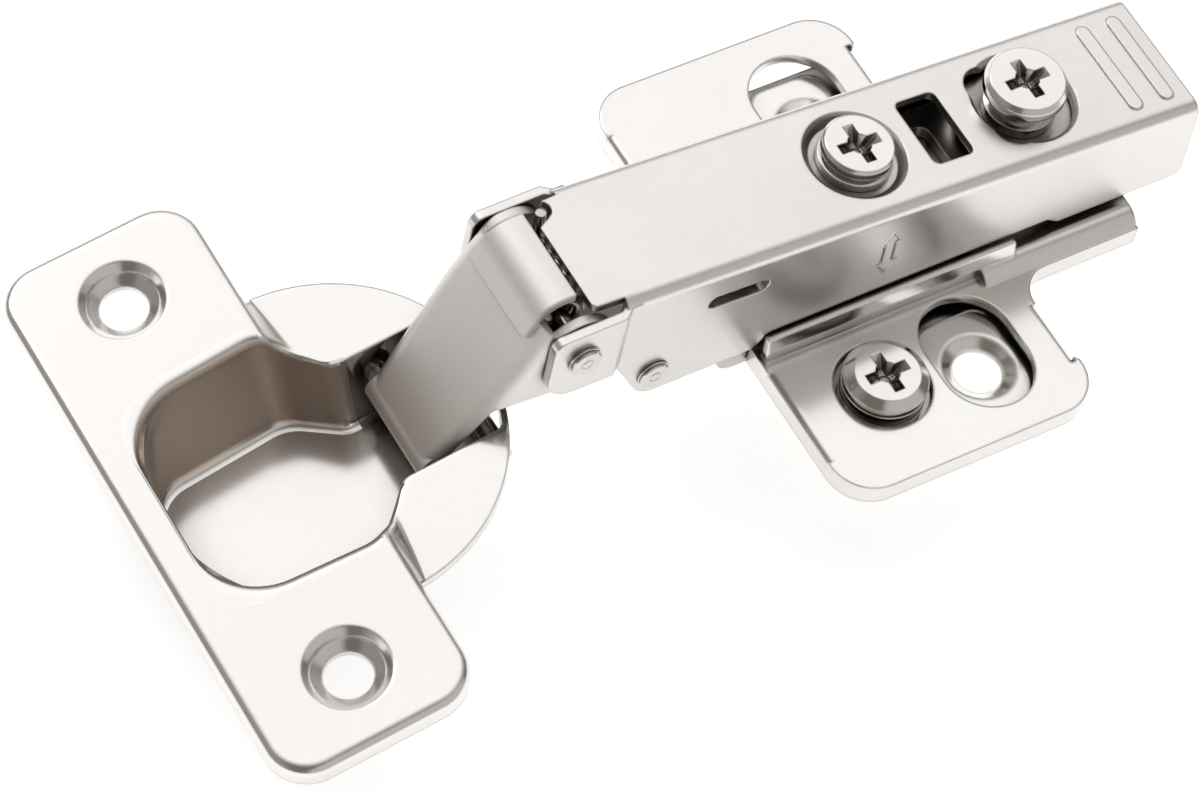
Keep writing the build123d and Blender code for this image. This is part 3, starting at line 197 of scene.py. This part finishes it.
def add_world():
    world = bpy.data.worlds.new("studio")
    bpy.context.scene.world = world
    world.use_nodes = True
    g = Graph(world.node_tree)
    place = g.add("ShaderNodeTexCoord").outputs["Generated"]
    # a broad soft light overhead and behind, fading into a warm dark room in front
    colour = g.ramp(g.dot(place, SKY_AXIS), SKY_STOPS)
    for axis, stops in ((SIDE_AXIS, SIDE_STOPS), (CARD_AXIS, CARD_STOPS)):
        colour = g.mix(1.0, colour, g.ramp(g.dot(place, axis), stops), "LIGHTEN")
    background = g.add("ShaderNodeBackground")
    g.link(colour, background.inputs["Color"])
    background.inputs["Strength"].default_value = 1.0
    output = g.add("ShaderNodeOutputWorld")
    g.link(background.outputs[0], output.inputs["Surface"])


SOFTBOX_PLACE = Vector((-0.30, 0.75, 0.75))
SOFTBOX_AIM = Vector((-0.02, 0.0, 0.0))
SOFTBOX_SIZE = (0.6, 0.4)            # metres
SOFTBOX_WATTS = 1.6


def add_softbox():
    data = bpy.data.lights.new("softbox_back", "AREA")
    data.shape = "RECTANGLE"
    data.size, data.size_y = SOFTBOX_SIZE
    data.energy = SOFTBOX_WATTS
    lamp = bpy.data.objects.new("softbox_back", data)
    bpy.context.scene.collection.objects.link(lamp)
    lamp.location = SOFTBOX_PLACE
    lamp.rotation_euler = (SOFTBOX_PLACE - SOFTBOX_AIM).to_track_quat("Z", "Y").to_euler()


def add_floor():
    """White paper that glows a little to camera, glossy and transmission rays alike."""
    mesh = bpy.data.meshes.new("floor")
    corners = [(x * FLOOR_REACH, y * FLOOR_REACH, FLOOR_Z)
               for x, y in ((-1, -1), (1, -1), (1, 1), (-1, 1))]
    mesh.from_pydata(corners, [], [(0, 1, 2, 3)])
    floor = bpy.data.objects.new("floor", mesh)
    bpy.context.scene.collection.objects.link(floor)
    material = bpy.data.materials.new("floor_paper")
    material.use_nodes = True
    g = Graph(material.node_tree)
    place = g.add("ShaderNodeTexCoord").outputs["Object"]
    grain = g.noise(place, GRAIN_SCALE, 4.0)
    tone = g.mix(g.spread(grain, 0.0, 1.0), PAPER, PAPER_GRAIN)
    paper = g.add("ShaderNodeBsdfDiffuse")
    g.link(tone, paper.inputs["Color"])
    glow = g.add("ShaderNodeEmission")
    away = g.add("ShaderNodeVectorMath", operation="LENGTH")
    g.link(place, away.inputs[0])
    g.link(g.step(away.outputs["Value"], FLOOR_FADE, WHITE, FLOOR_FAR), glow.inputs["Color"])
    seen = g.add("ShaderNodeLightPath")
    rays = g.math("MAXIMUM", seen.outputs["Is Camera Ray"], seen.outputs["Is Glossy Ray"])
    rays = g.math("MAXIMUM", rays, seen.outputs["Is Transmission Ray"])
    g.link(g.math("MULTIPLY", rays, FLOOR_GLOW), glow.inputs["Strength"])
    both = g.add("ShaderNodeAddShader")
    g.link(paper.outputs[0], both.inputs[0])
    g.link(glow.outputs[0], both.inputs[1])
    output = g.add("ShaderNodeOutputMaterial")
    g.link(both.outputs[0], output.inputs["Surface"])
    mesh.materials.append(material)


# ------------------------------------------------------------------ materials
BROAD_SCALE = 60.0              # per metre, as the two below
FINE_SCALE = 900.0
GRIT_SCALE = 5200.0
FINE_SHARE = 0.22               # of the darker tone that the fine noise may bring in
FINE_SHADE = 0.93
ROUGH_DRIFT = 0.018             # small, as the render's noise filter leaves specks across 0.27
ROUGH_FINE = (-0.006, 0.01)
BEVEL_SAMPLES = 6
BUMP_HEIGHT = 0.05              # millimetres
BUMP_MIX = (0.7, 0.3)           # shares of the fine noise and the grit
# the painted shade in corners and recesses goes down to this share of the shade tone
PAINTED_CREVICE_SHADE = 0.30
DEEP_SPAN = (0.06, 0.45)        # millimetres below the rim where the painted shade on the wall sets in
FOOT_SPAN = (11.95, 12.45)      # and clears again at the floor
# painted shade: the darker colour of the pocket's wall below its rim
POCKET_PAINTED_SHADE = (0.54, 0.47, 0.415)
POCKET_SATIN = 0.25             # roughness the wall gains below its rim


def darker(colour, share):
    return tuple(share * channel for channel in colour)


def nickel(name, base, shade, rough, bump=0.012, edge=0.22, reach=3.5, deep=None):
    """Plated steel: colour drifts, roughness varies, edges are rolled bright, corners and recesses
    get painted shade.

    edge and reach are in millimetres; reach is how far the painted shade in corners looks. Below
    the pocket's rim a deep colour takes over as painted shade.
    """
    material = bpy.data.materials.new(name)
    material.use_nodes = True
    g = Graph(material.node_tree)
    place = g.add("ShaderNodeTexCoord").outputs["Object"]
    broad = g.noise(place, BROAD_SCALE, 2.0)
    fine = g.noise(place, FINE_SCALE, 4.0, 0.6)
    grit = g.noise(place, GRIT_SCALE, 2.0, 0.6)
    tone = g.mix(g.spread(broad, 0.0, 1.0), base, shade)
    tone = g.mix(g.spread(fine, 0.0, FINE_SHARE), tone, darker(shade, FINE_SHADE))
    roughness = g.math("ADD", g.spread(broad, rough - ROUGH_DRIFT, rough + ROUGH_DRIFT),
                       g.spread(fine, *ROUGH_FINE))
    if deep:
        # painted shade on the pocket's wall: a darker colour from just below the rim to just above
        # the floor
        depth = g.add("ShaderNodeAttribute", attribute_name="depth").outputs["Fac"]
        below = g.mix(1.0, g.step(depth, DEEP_SPAN, BLACK, WHITE),
                      g.step(depth, FOOT_SPAN, WHITE, BLACK), "MULTIPLY")
        tone = g.mix(below, tone, deep)
        roughness = g.math("ADD", roughness, g.math("MULTIPLY", below, POCKET_SATIN))
    # painted shade: corners and recesses are darkened towards the shade tone
    tone = g.mix(g.painted_shade_mask(reach * MM), tone, darker(shade, PAINTED_CREVICE_SHADE))
    rolled = g.add("ShaderNodeBevel", samples=BEVEL_SAMPLES)
    rolled.inputs["Radius"].default_value = edge * MM
    height = g.math("ADD", g.math("MULTIPLY", fine, BUMP_MIX[0]),
                    g.math("MULTIPLY", grit, BUMP_MIX[1]))
    bumped = g.add("ShaderNodeBump")
    bumped.inputs["Strength"].default_value = bump
    bumped.inputs["Distance"].default_value = BUMP_HEIGHT * MM
    g.link(height, bumped.inputs["Height"])
    g.link(rolled.outputs[0], bumped.inputs["Normal"])
    metal = g.add("ShaderNodeBsdfPrincipled")
    g.link(tone, metal.inputs["Base Color"])
    g.link(roughness, metal.inputs["Roughness"])
    g.link(bumped.outputs[0], metal.inputs["Normal"])
    metal.inputs["Metallic"].default_value = 1.0
    output = g.add("ShaderNodeOutputMaterial")
    g.link(metal.outputs[0], output.inputs["Surface"])
    return material


def dress(nodes, material):
    for name in nodes:
        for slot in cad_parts[name].material_slots:
            slot.material = material


PLATED = (0.83, 0.815, 0.80)
PLATED_SHADE = (0.80, 0.78, 0.76)
PIN_STEEL = nickel("pin_steel", (0.76, 0.74, 0.71), (0.68, 0.65, 0.62), 0.15, edge=0.1)
ARM_NICKEL = nickel("arm_nickel", (0.80, 0.785, 0.77), (0.775, 0.755, 0.735), 0.30,
                    bump=0.005, edge=0.3)
# the cup's painted shade in corners reaches further, so the pocket's floor darkens near its walls
CUP_NICKEL = nickel("cup_nickel", PLATED, PLATED_SHADE, 0.15, edge=0.45, reach=7.0)
BLEND_NICKEL = nickel("blend_nickel", PLATED, PLATED_SHADE, 0.20, edge=0.02)
POCKET_NICKEL = nickel("pocket_nickel", PLATED, PLATED_SHADE, 0.20, edge=0.02, deep=POCKET_PAINTED_SHADE)
SCREW_NICKEL = nickel("screw_nickel", (0.80, 0.78, 0.76), (0.74, 0.72, 0.69), 0.12, bump=0.02)

# ------------------------------------------------------------------ pieces
# All sizes in millimetres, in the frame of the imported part.
MIDDLE_Y = 1.1                  # everything above the lower plate is centred here
EAR_HALF = 8.4
ARM_HALF = 7.58
FRONT_PIN = (-43.11, 16.95)     # x, z of the pivots
REAR_PIN = (-33.40, 7.71)
ROUND_STEPS = 72
SHARP_ANGLE = 32                # degrees


def new_piece(name, points, faces, material, body):
    """A mesh piece from points in millimetres, riding on a body."""
    mesh = bpy.data.meshes.new(name)
    mesh.from_pydata([Vector(point) * MM for point in points], [], faces)
    mesh.materials.append(material)
    mesh.update()
    if sum(face.center.dot(face.normal) * face.area for face in mesh.polygons) < 0:
        mesh.flip_normals()
    mesh.shade_smooth()
    mesh.set_sharp_from_angle(angle=math.radians(SHARP_ANGLE))
    piece = bpy.data.objects.new(name, mesh)
    bpy.context.scene.collection.objects.link(piece)
    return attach(piece, body)


def between(start, end, share):
    return start + (end - start) * share


def share_of(value, start, end):
    """How far value has come from start to end, held within 0 and 1."""
    return min(1.0, max(0.0, (value - start) / (end - start)))


def circle(steps):
    """Points evenly round the unit circle."""
    angles = [2 * math.pi * step / steps for step in range(steps)]
    return [(math.cos(angle), math.sin(angle)) for angle in angles]


def grid_faces(rows, columns, joined=False):
    """Quads between rows of points, each row closed on itself.

    joined ties the last row to the first.
    """
    faces = []
    for row in range(rows if joined else rows - 1):
        low = row * columns
        high = (row + 1) % rows * columns
        for column in range(columns):
            beside = (column + 1) % columns
            faces.append((low + column, low + beside, high + beside, high + column))
    return faces


def lathe(name, profile, place, material, body, ring=False):
    """Turns (radius, distance) pairs about an axis; place gives a point from (a, b, distance).

    A ring's profile closes on itself, any other is capped at both ends.
    """
    points = [place(radius * a, radius * b, distance)
              for radius, distance in profile for a, b in circle(ROUND_STEPS)]
    faces = grid_faces(len(profile), ROUND_STEPS, joined=ring)
    if not ring:
        faces.append(tuple(reversed(range(ROUND_STEPS))))
        faces.append(tuple(range(len(points) - ROUND_STEPS, len(points))))
    return new_piece(name, points, faces, material, body)


# The two rivets that hold the links, with turned heads in place of the CAD's plain ones.
FRONT_HEAD = 0.75               # height of the set head
REAR_HEAD = 0.60
SHANK_R = 1.25
SHANK_STUB = 0.1                # the shank starts this far inside the sheet
HEAD_R = 1.70
UNDERCUT = 0.08
EDGE_BREAK = 0.06
HEAD_LEVELS = (0.35, 0.42, 0.44, 0.52, 0.56)    # shares of the head's height, see below
GROOVE_DEPTH = 0.20
HEAD_STEP = 0.10
HEAD_BEVEL = 0.12
BOSS_R = 0.55
BOSS_PROUD = 0.02
RING_SPAN = (0.08, 0.14)        # the groove round the boss ends this far out
RING_DEPTH = 0.07


def rivet_profile(grip, head):
    """Half of a set rivet: collar, groove, bevelled head, ring and centre boss."""
    collar, broken, groove_foot, groove_top, step = [
        grip + share * head for share in HEAD_LEVELS]
    top = grip + head
    crown = HEAD_R - HEAD_STEP
    return [
        (SHANK_R, grip - SHANK_STUB), (SHANK_R, grip),
        (HEAD_R - UNDERCUT, grip), (HEAD_R, grip + EDGE_BREAK),
        (HEAD_R, collar), (HEAD_R - EDGE_BREAK, broken),
        (HEAD_R - GROOVE_DEPTH, groove_foot), (HEAD_R - GROOVE_DEPTH, groove_top),
        (crown, step), (crown, top - HEAD_BEVEL), (crown - HEAD_BEVEL, top),
        (BOSS_R + RING_SPAN[1], top), (BOSS_R + RING_SPAN[0], top - RING_DEPTH),
        (BOSS_R, top - RING_DEPTH), (BOSS_R - EDGE_BREAK, top + BOSS_PROUD),
    ]


def add_rivet(name, node, pin, grip, head):
    """A rivet through both sides of the arm, in place of the node's own."""
    half = rivet_profile(grip, head)
    profile = [(radius, -distance) for radius, distance in reversed(half)] + half

    def place(a, b, distance):
        return (pin[0] + a, MIDDLE_Y + distance, pin[1] - b)

    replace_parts(lathe(name, profile, place, PIN_STEEL, "arm"), node)


ARROW_CENTRE = (-7.42, 12.58)   # x, z on the arm's near side
ARROW_LEAN = math.radians(3.0)  # forward at the top
ARROW_HALF = 3.45
ARROW_BARB = (1.05, 1.65)       # across, up from the middle
ARROW_SHAFT = (0.62, 1.45)
ARROW_LINE = 0.15               # radius of the raised line
MITRE_LIMIT = 0.5
LINE_SIDES = 8


def add_arrow_sign():
    """The raised outline of a double-headed arrow, a bead along a closed line."""
    quarter = [(0.0, ARROW_HALF), ARROW_BARB, ARROW_SHAFT]
    right = quarter + [(across, -up) for across, up in reversed(quarter)]
    line = right + [(-across, up) for across, up in reversed(right[1:-1])]
    turn = Matrix.Rotation(ARROW_LEAN, 2)
    line = [turn @ Vector(point) + Vector(ARROW_CENTRE) for point in line]
    wall_y = MIDDLE_Y - ARM_HALF
    points = []
    for index, corner in enumerate(line):
        before = (corner - line[index - 1]).normalized()
        after = (line[(index + 1) % len(line)] - corner).normalized()
        along = (before + after).normalized()
        mitre = Vector((along.y, -along.x)) / max(along.dot(before), MITRE_LIMIT)
        for a, b in circle(LINE_SIDES):
            spot = corner + mitre * ARROW_LINE * a
            points.append((spot.x, wall_y - ARROW_LINE * b, spot.y))
    faces = grid_faces(len(line), LINE_SIDES, joined=True)
    new_piece("arrow_sign", points, faces, PIN_STEEL, "arm")


CAM_CENTRE = (-11.0, MIDDLE_Y - 15.9)   # x, y
CAM_HEAD_R = 4.25
CAM_RINGS = (3.55, 4.45)        # heights of the two turned beads on the head's side
CAM_BEAD = 0.09                 # radius


def add_cam_rings():
    """Fine turned beads round the height screw's head."""
    def place(a, b, height):
        return (CAM_CENTRE[0] + a, CAM_CENTRE[1] + b, height)

    for index, level in enumerate(CAM_RINGS):
        profile = [(CAM_HEAD_R + CAM_BEAD * a, level + CAM_BEAD * b)
                   for a, b in circle(LINE_SIDES)]
        lathe(f"cam_bead_{index}", profile, place, SCREW_NICKEL, "height_cam", ring=True)


# The cup's own frame: u runs back towards the arm, v across, w up from the flange's top.
CUP_ORIGIN = (-74.52, 4.61)     # x, z
CUP_TILT = math.radians(11.82)
CUP_CENTRE_U = 9.6
CUP_BORE_R = 17.5
LEDGE_TOP = -2.2
FLANGE_FLAT_U = 9.1             # where the flange's top starts to round down
FLANGE_EDGE = 1.1
BLEND_U = 10.0                  # the rounded edge runs on into a hollow slope
BLEND_WIDTH = (2.3, 1.1)        # at the pocket and at the disc's rim
BLEND_POWER = 1.9
BLEND_LIFT = 0.02               # proud of the flange where it starts
BLEND_SINK = 0.05               # and sunk by this much more where it ends
BLEND_ROOT = -2.7               # its underside, inside the ledge
BLEND_INSET = 0.12              # keeps it inside the disc's rim
MOUTH_START = (10.0, 12.95)     # where the pocket's mouth meets the flange's edge, u and v
MOUTH_SLOPE = -5.1 / 4.5        # change of v along u
BLEND_ROWS = 18
BLEND_COLUMNS = 16


def on_cup(u, v, w):
    x = CUP_ORIGIN[0] + u * math.cos(CUP_TILT) - w * math.sin(CUP_TILT)
    z = CUP_ORIGIN[1] + u * math.sin(CUP_TILT) + w * math.cos(CUP_TILT)
    return (x, MIDDLE_Y + v, z)


def crest(u, width=BLEND_WIDTH[0]):
    """Height of the sheet's top across the drop from the flange to the ledge."""
    if u <= FLANGE_FLAT_U:
        return 0.0
    if u <= BLEND_U:
        return math.sqrt(FLANGE_EDGE ** 2 - (u - FLANGE_FLAT_U) ** 2) - FLANGE_EDGE
    drop = (1 - share_of(u, BLEND_U, BLEND_U + width)) ** BLEND_POWER
    return between(LEDGE_TOP, crest(BLEND_U), drop)


def closed_shell(name, sections, material, body):
    """A solid through closed sections of equal length, capped flat at both ends."""
    points = [spot for section in sections for spot in section]
    count = len(sections[0])
    faces = grid_faces(len(sections), count)
    last = (len(sections) - 1) * count
    for column in range(count // 2 - 1):
        first = (column, column + 1, count - 2 - column, count - 1 - column)
        faces.append(tuple(reversed(first)))
        faces.append(tuple(last + index for index in first))
    return new_piece(name, points, faces, material, body)


def add_step_blend(side):
    """The drawn sheet's hollow slope between the flange and the lower ledge."""
    sections = []
    for row in range(BLEND_ROWS):
        out = row / (BLEND_ROWS - 1)
        across = []
        for column in range(BLEND_COLUMNS):
            share = column / (BLEND_COLUMNS - 1)
            width = between(*BLEND_WIDTH, share)
            u = BLEND_U + width * out
            inner = MOUTH_START[1] + (u - MOUTH_START[0]) * MOUTH_SLOPE
            outer = math.sqrt(CUP_BORE_R ** 2 - (u - CUP_CENTRE_U) ** 2) - BLEND_INSET
            v = side * between(inner, outer, share)
            across.append((u, v, crest(u, width) + BLEND_LIFT - BLEND_SINK * out))
        under = [(u, v, BLEND_ROOT) for u, v, w in reversed(across)]
        sections.append([on_cup(*spot) for spot in across + under])
    name = "step_blend_near" if side < 0 else "step_blend_far"
    closed_shell(name, sections, BLEND_NICKEL, "cup")


POCKET_DEPTH = 12.9
POCKET_R = 16.9                 # the wall stays inside the round bore
POCKET_FRONT = -6.7             # u of the front wall at the rim
POCKET_HALF = 12.3              # v of the side wall at the shoulder
FRONT_TAPER = 0.9               # less at the front
POCKET_SHOULDER = 9.6           # u where the side turns in towards the neck
POCKET_NECK = (14.1, 7.2)       # u and v where the neck starts
POCKET_END = 15.6               # u where the liner ends, inside the neck
SIDE_DRAFT = 2.3                # how far the sides have come in at the floor
FRONT_DRAFT = 0.7
SHOULDER_LEAN = 1.15            # the wall moves in this much per unit of draft
SHOULDER_SHIFT = 0.15
NECK_LEAN = 0.5
RIM_BEND = 0.9
RIM_FLARE = 2.6                 # the rim may pass the bore's circle by this much
FLOOR_BEND = 0.8
LINER_GAP = 0.07                # proud of the wall behind it
LINER_LIFT = 0.03               # and of the flange and the floor
FRONT_GAP = 0.02                # the closed arm runs close to the front wall
LINER_SHEET = 0.25
LINER_DEPTHS = (1.4, 2.0, 2.6, 3.2, 3.8, 4.4, 5.0, 5.6, 7.5, 10.0, POCKET_DEPTH - FLOOR_BEND)
FOOT_TUCK = 0.3                 # the last ring reaches this far on, under the floor
NECK_BEND = 2.6
SHOULDER_BEND = 4.5
CORNER_BEND = 7.0               # at the rim, tighter below where the closed arm's ears pass
CORNER_BEND_LOW = 4.0
CORNER_TURN = (2.0, 5.4)        # the bend tightens between these depths
CAP_SHRINK = -1.6               # the first ring hides in the flange, wide of the mouth
CAP_BENDS = (2.6, 2.0, 4.2)
BEND_STEPS = 14
BEND_ANGLE = 15                 # degrees between the rings of a bend
RUN_PARTS = 10


def rounded_run(corners, bends):
    """An open line through the corners, each inner one rounded, evenly divided."""
    marks = [[corners[0]]]
    for before, corner, after, bend in zip(corners, corners[1:], corners[2:], bends):
        into = (corner - before).normalized()
        away = (after - corner).normalized()
        turn = into.angle_signed(away)
        reach = bend * math.tan(abs(turn) / 2)
        start = corner - into * reach
        normal = Vector((-into.y, into.x)) * (-1 if turn > 0 else 1)
        centre = start + normal * bend
        arc = []
        for step in range(BEND_STEPS + 1):
            swing = Matrix.Rotation(-turn * step / BEND_STEPS, 2)
            arc.append(centre + swing @ (start - centre))
        marks.append(arc)
    marks.append([corners[-1]])
    line = []
    for here, following in zip(marks, marks[1:]):
        line += here
        for part in range(1, RUN_PARTS):
            line.append(here[-1].lerp(following[0], part / RUN_PARTS))
    return line + marks[-1]


def pocket_run(shrink, inset, bends):
    """Plan of the pocket's wall from one side of the neck round to the other."""
    front = POCKET_FRONT + shrink * FRONT_DRAFT / SIDE_DRAFT + min(inset, FRONT_GAP)
    half = POCKET_HALF - shrink * SHOULDER_LEAN - inset
    neck = POCKET_NECK[1] - shrink * NECK_LEAN - inset
    shoulder = POCKET_SHOULDER - shrink * SHOULDER_SHIFT
    far = [Vector((POCKET_END, neck)), Vector((POCKET_NECK[0], neck)),
           Vector((shoulder, half)), Vector((front, half - FRONT_TAPER))]
    near = [Vector((spot.x, -spot.y)) for spot in reversed(far)]
    return rounded_run(far + near, bends + bends[::-1])


def corner_bends(depth):
    """Bends of the neck, the shoulder and the front corner at a depth."""
    low = share_of(depth, *CORNER_TURN)
    low *= low * (3.0 - 2.0 * low)      # eased at both ends
    return (NECK_BEND, SHOULDER_BEND, between(CORNER_BEND, CORNER_BEND_LOW, low))


def liner_rings():
    """(shrink, inset, depth, bends) of each ring from the rim down to the floor."""
    per_depth = SIDE_DRAFT / POCKET_DEPTH
    rings = [(CAP_SHRINK, 0.0, LINER_LIFT, CAP_BENDS)]
    for angle in range(90, -1, -BEND_ANGLE):
        turned = math.radians(angle)
        depth = RIM_BEND * (1 - math.sin(turned))
        reach = RIM_BEND * (1 - math.cos(turned))
        rings.append((depth * per_depth - reach, LINER_GAP, depth - LINER_LIFT,
                      corner_bends(depth)))
    for depth in LINER_DEPTHS:
        rings.append((depth * per_depth, LINER_GAP, depth, corner_bends(depth)))
    for angle in range(BEND_ANGLE, 91, BEND_ANGLE):
        turned = math.radians(angle)
        depth = POCKET_DEPTH - FLOOR_BEND * (1 - math.sin(turned)) - LINER_LIFT
        inset = LINER_GAP + FLOOR_BEND * (1 - math.cos(turned))
        rings.append((depth * per_depth, inset, depth, corner_bends(depth)))
    rings.append((SIDE_DRAFT, LINER_GAP + FLOOR_BEND + FOOT_TUCK, POCKET_DEPTH + LINER_LIFT,
                  corner_bends(POCKET_DEPTH)))
    return rings


def liner_ring(shrink, inset, depth, bends, outward):
    """One ring in cup coordinates; outward pushes it into the wall behind."""
    flare = RIM_FLARE * max(0.0, 1 - depth / RIM_BEND)
    limit = POCKET_R - LINER_GAP + flare + outward
    share = depth / POCKET_DEPTH
    ring = []
    for spot in pocket_run(shrink, inset - outward, bends):
        away = spot - Vector((CUP_CENTRE_U, 0.0))
        if away.length > limit and away.x < 0:
            away = away.normalized() * limit
        u, v = away.x + CUP_CENTRE_U, away.y
        top = crest(u)
        w = top - depth if depth <= RIM_BEND else between(top, -POCKET_DEPTH, share)
        # the wall below the ledge starts lower, so it has drafted in further
        lean = between(SHOULDER_LEAN, NECK_LEAN, share_of(u, POCKET_SHOULDER, POCKET_NECK[0]))
        late = -top * (1 - share) * SIDE_DRAFT / POCKET_DEPTH * lean
        ring.append((u, v - math.copysign(late, v), w - outward))
    return ring


def add_pocket_liner():
    """The deep drawn wall: rolled rim, drafted sides and a hollow foot at the floor."""
    rings = liner_rings()
    inner = [liner_ring(*ring, 0.0) for ring in rings]
    outer = [liner_ring(*ring, LINER_SHEET) for ring in rings]
    sections = []
    for index in range(len(inner[0])):
        face = [on_cup(*ring[index]) for ring in inner]
        back = [on_cup(*ring[index]) for ring in reversed(outer)]
        sections.append(face + back)
    piece = closed_shell("pocket_liner", sections, POCKET_NICKEL, "cup")
    # the material paints shade on the wall by this depth
    depths = [depth for _, _, depth, _ in rings]
    values = (depths + depths[::-1]) * len(sections)
    piece.data.attributes.new("depth", "FLOAT", "POINT").data.foreach_set("value", values)


# ------------------------------------------------------------------ scene
bpy.context.scene.view_settings.view_transform = "Standard"
add_camera()
add_world()
add_floor()
add_softbox()

dress(["cup"], CUP_NICKEL)
dress(["arm"], ARM_NICKEL)
dress(["outer_link", "inner_link"],
      nickel("link_nickel", (0.86, 0.835, 0.815), (0.83, 0.80, 0.775), 0.52, bump=0.006, edge=0.3))
dress(["plate_upper"], nickel("upper_nickel", PLATED, PLATED_SHADE, 0.19, edge=0.45))
dress(["plate_lower"], nickel("lower_nickel", PLATED, PLATED_SHADE, 0.15, edge=0.7))
dress(["height_cam_screw", "depth_screw", "overlay_screw"], SCREW_NICKEL)
dress(["guide_rivets", "hook_pin", "latch_pin", "front_rivet", "rear_rivet",
       "outer_link_pin", "inner_link_pin"], PIN_STEEL)
dress(["closing_spring", "latch_spring"],
      nickel("spring_wire", (0.62, 0.57, 0.51), (0.52, 0.47, 0.42), 0.20))
dress(["carrier", "latch_lever", "adjusting_slide", "depth_washer"],
      nickel("works_steel", (0.60, 0.57, 0.53), (0.52, 0.49, 0.45), 0.24))

add_rivet("front_rivet_turned", "front_rivet", FRONT_PIN, EAR_HALF, FRONT_HEAD)
add_rivet("rear_rivet_turned", "rear_rivet", REAR_PIN, ARM_HALF, REAR_HEAD)
add_arrow_sign()
add_cam_rings()
for side in (-1, 1):
    add_step_blend(side)
add_pocket_liner()
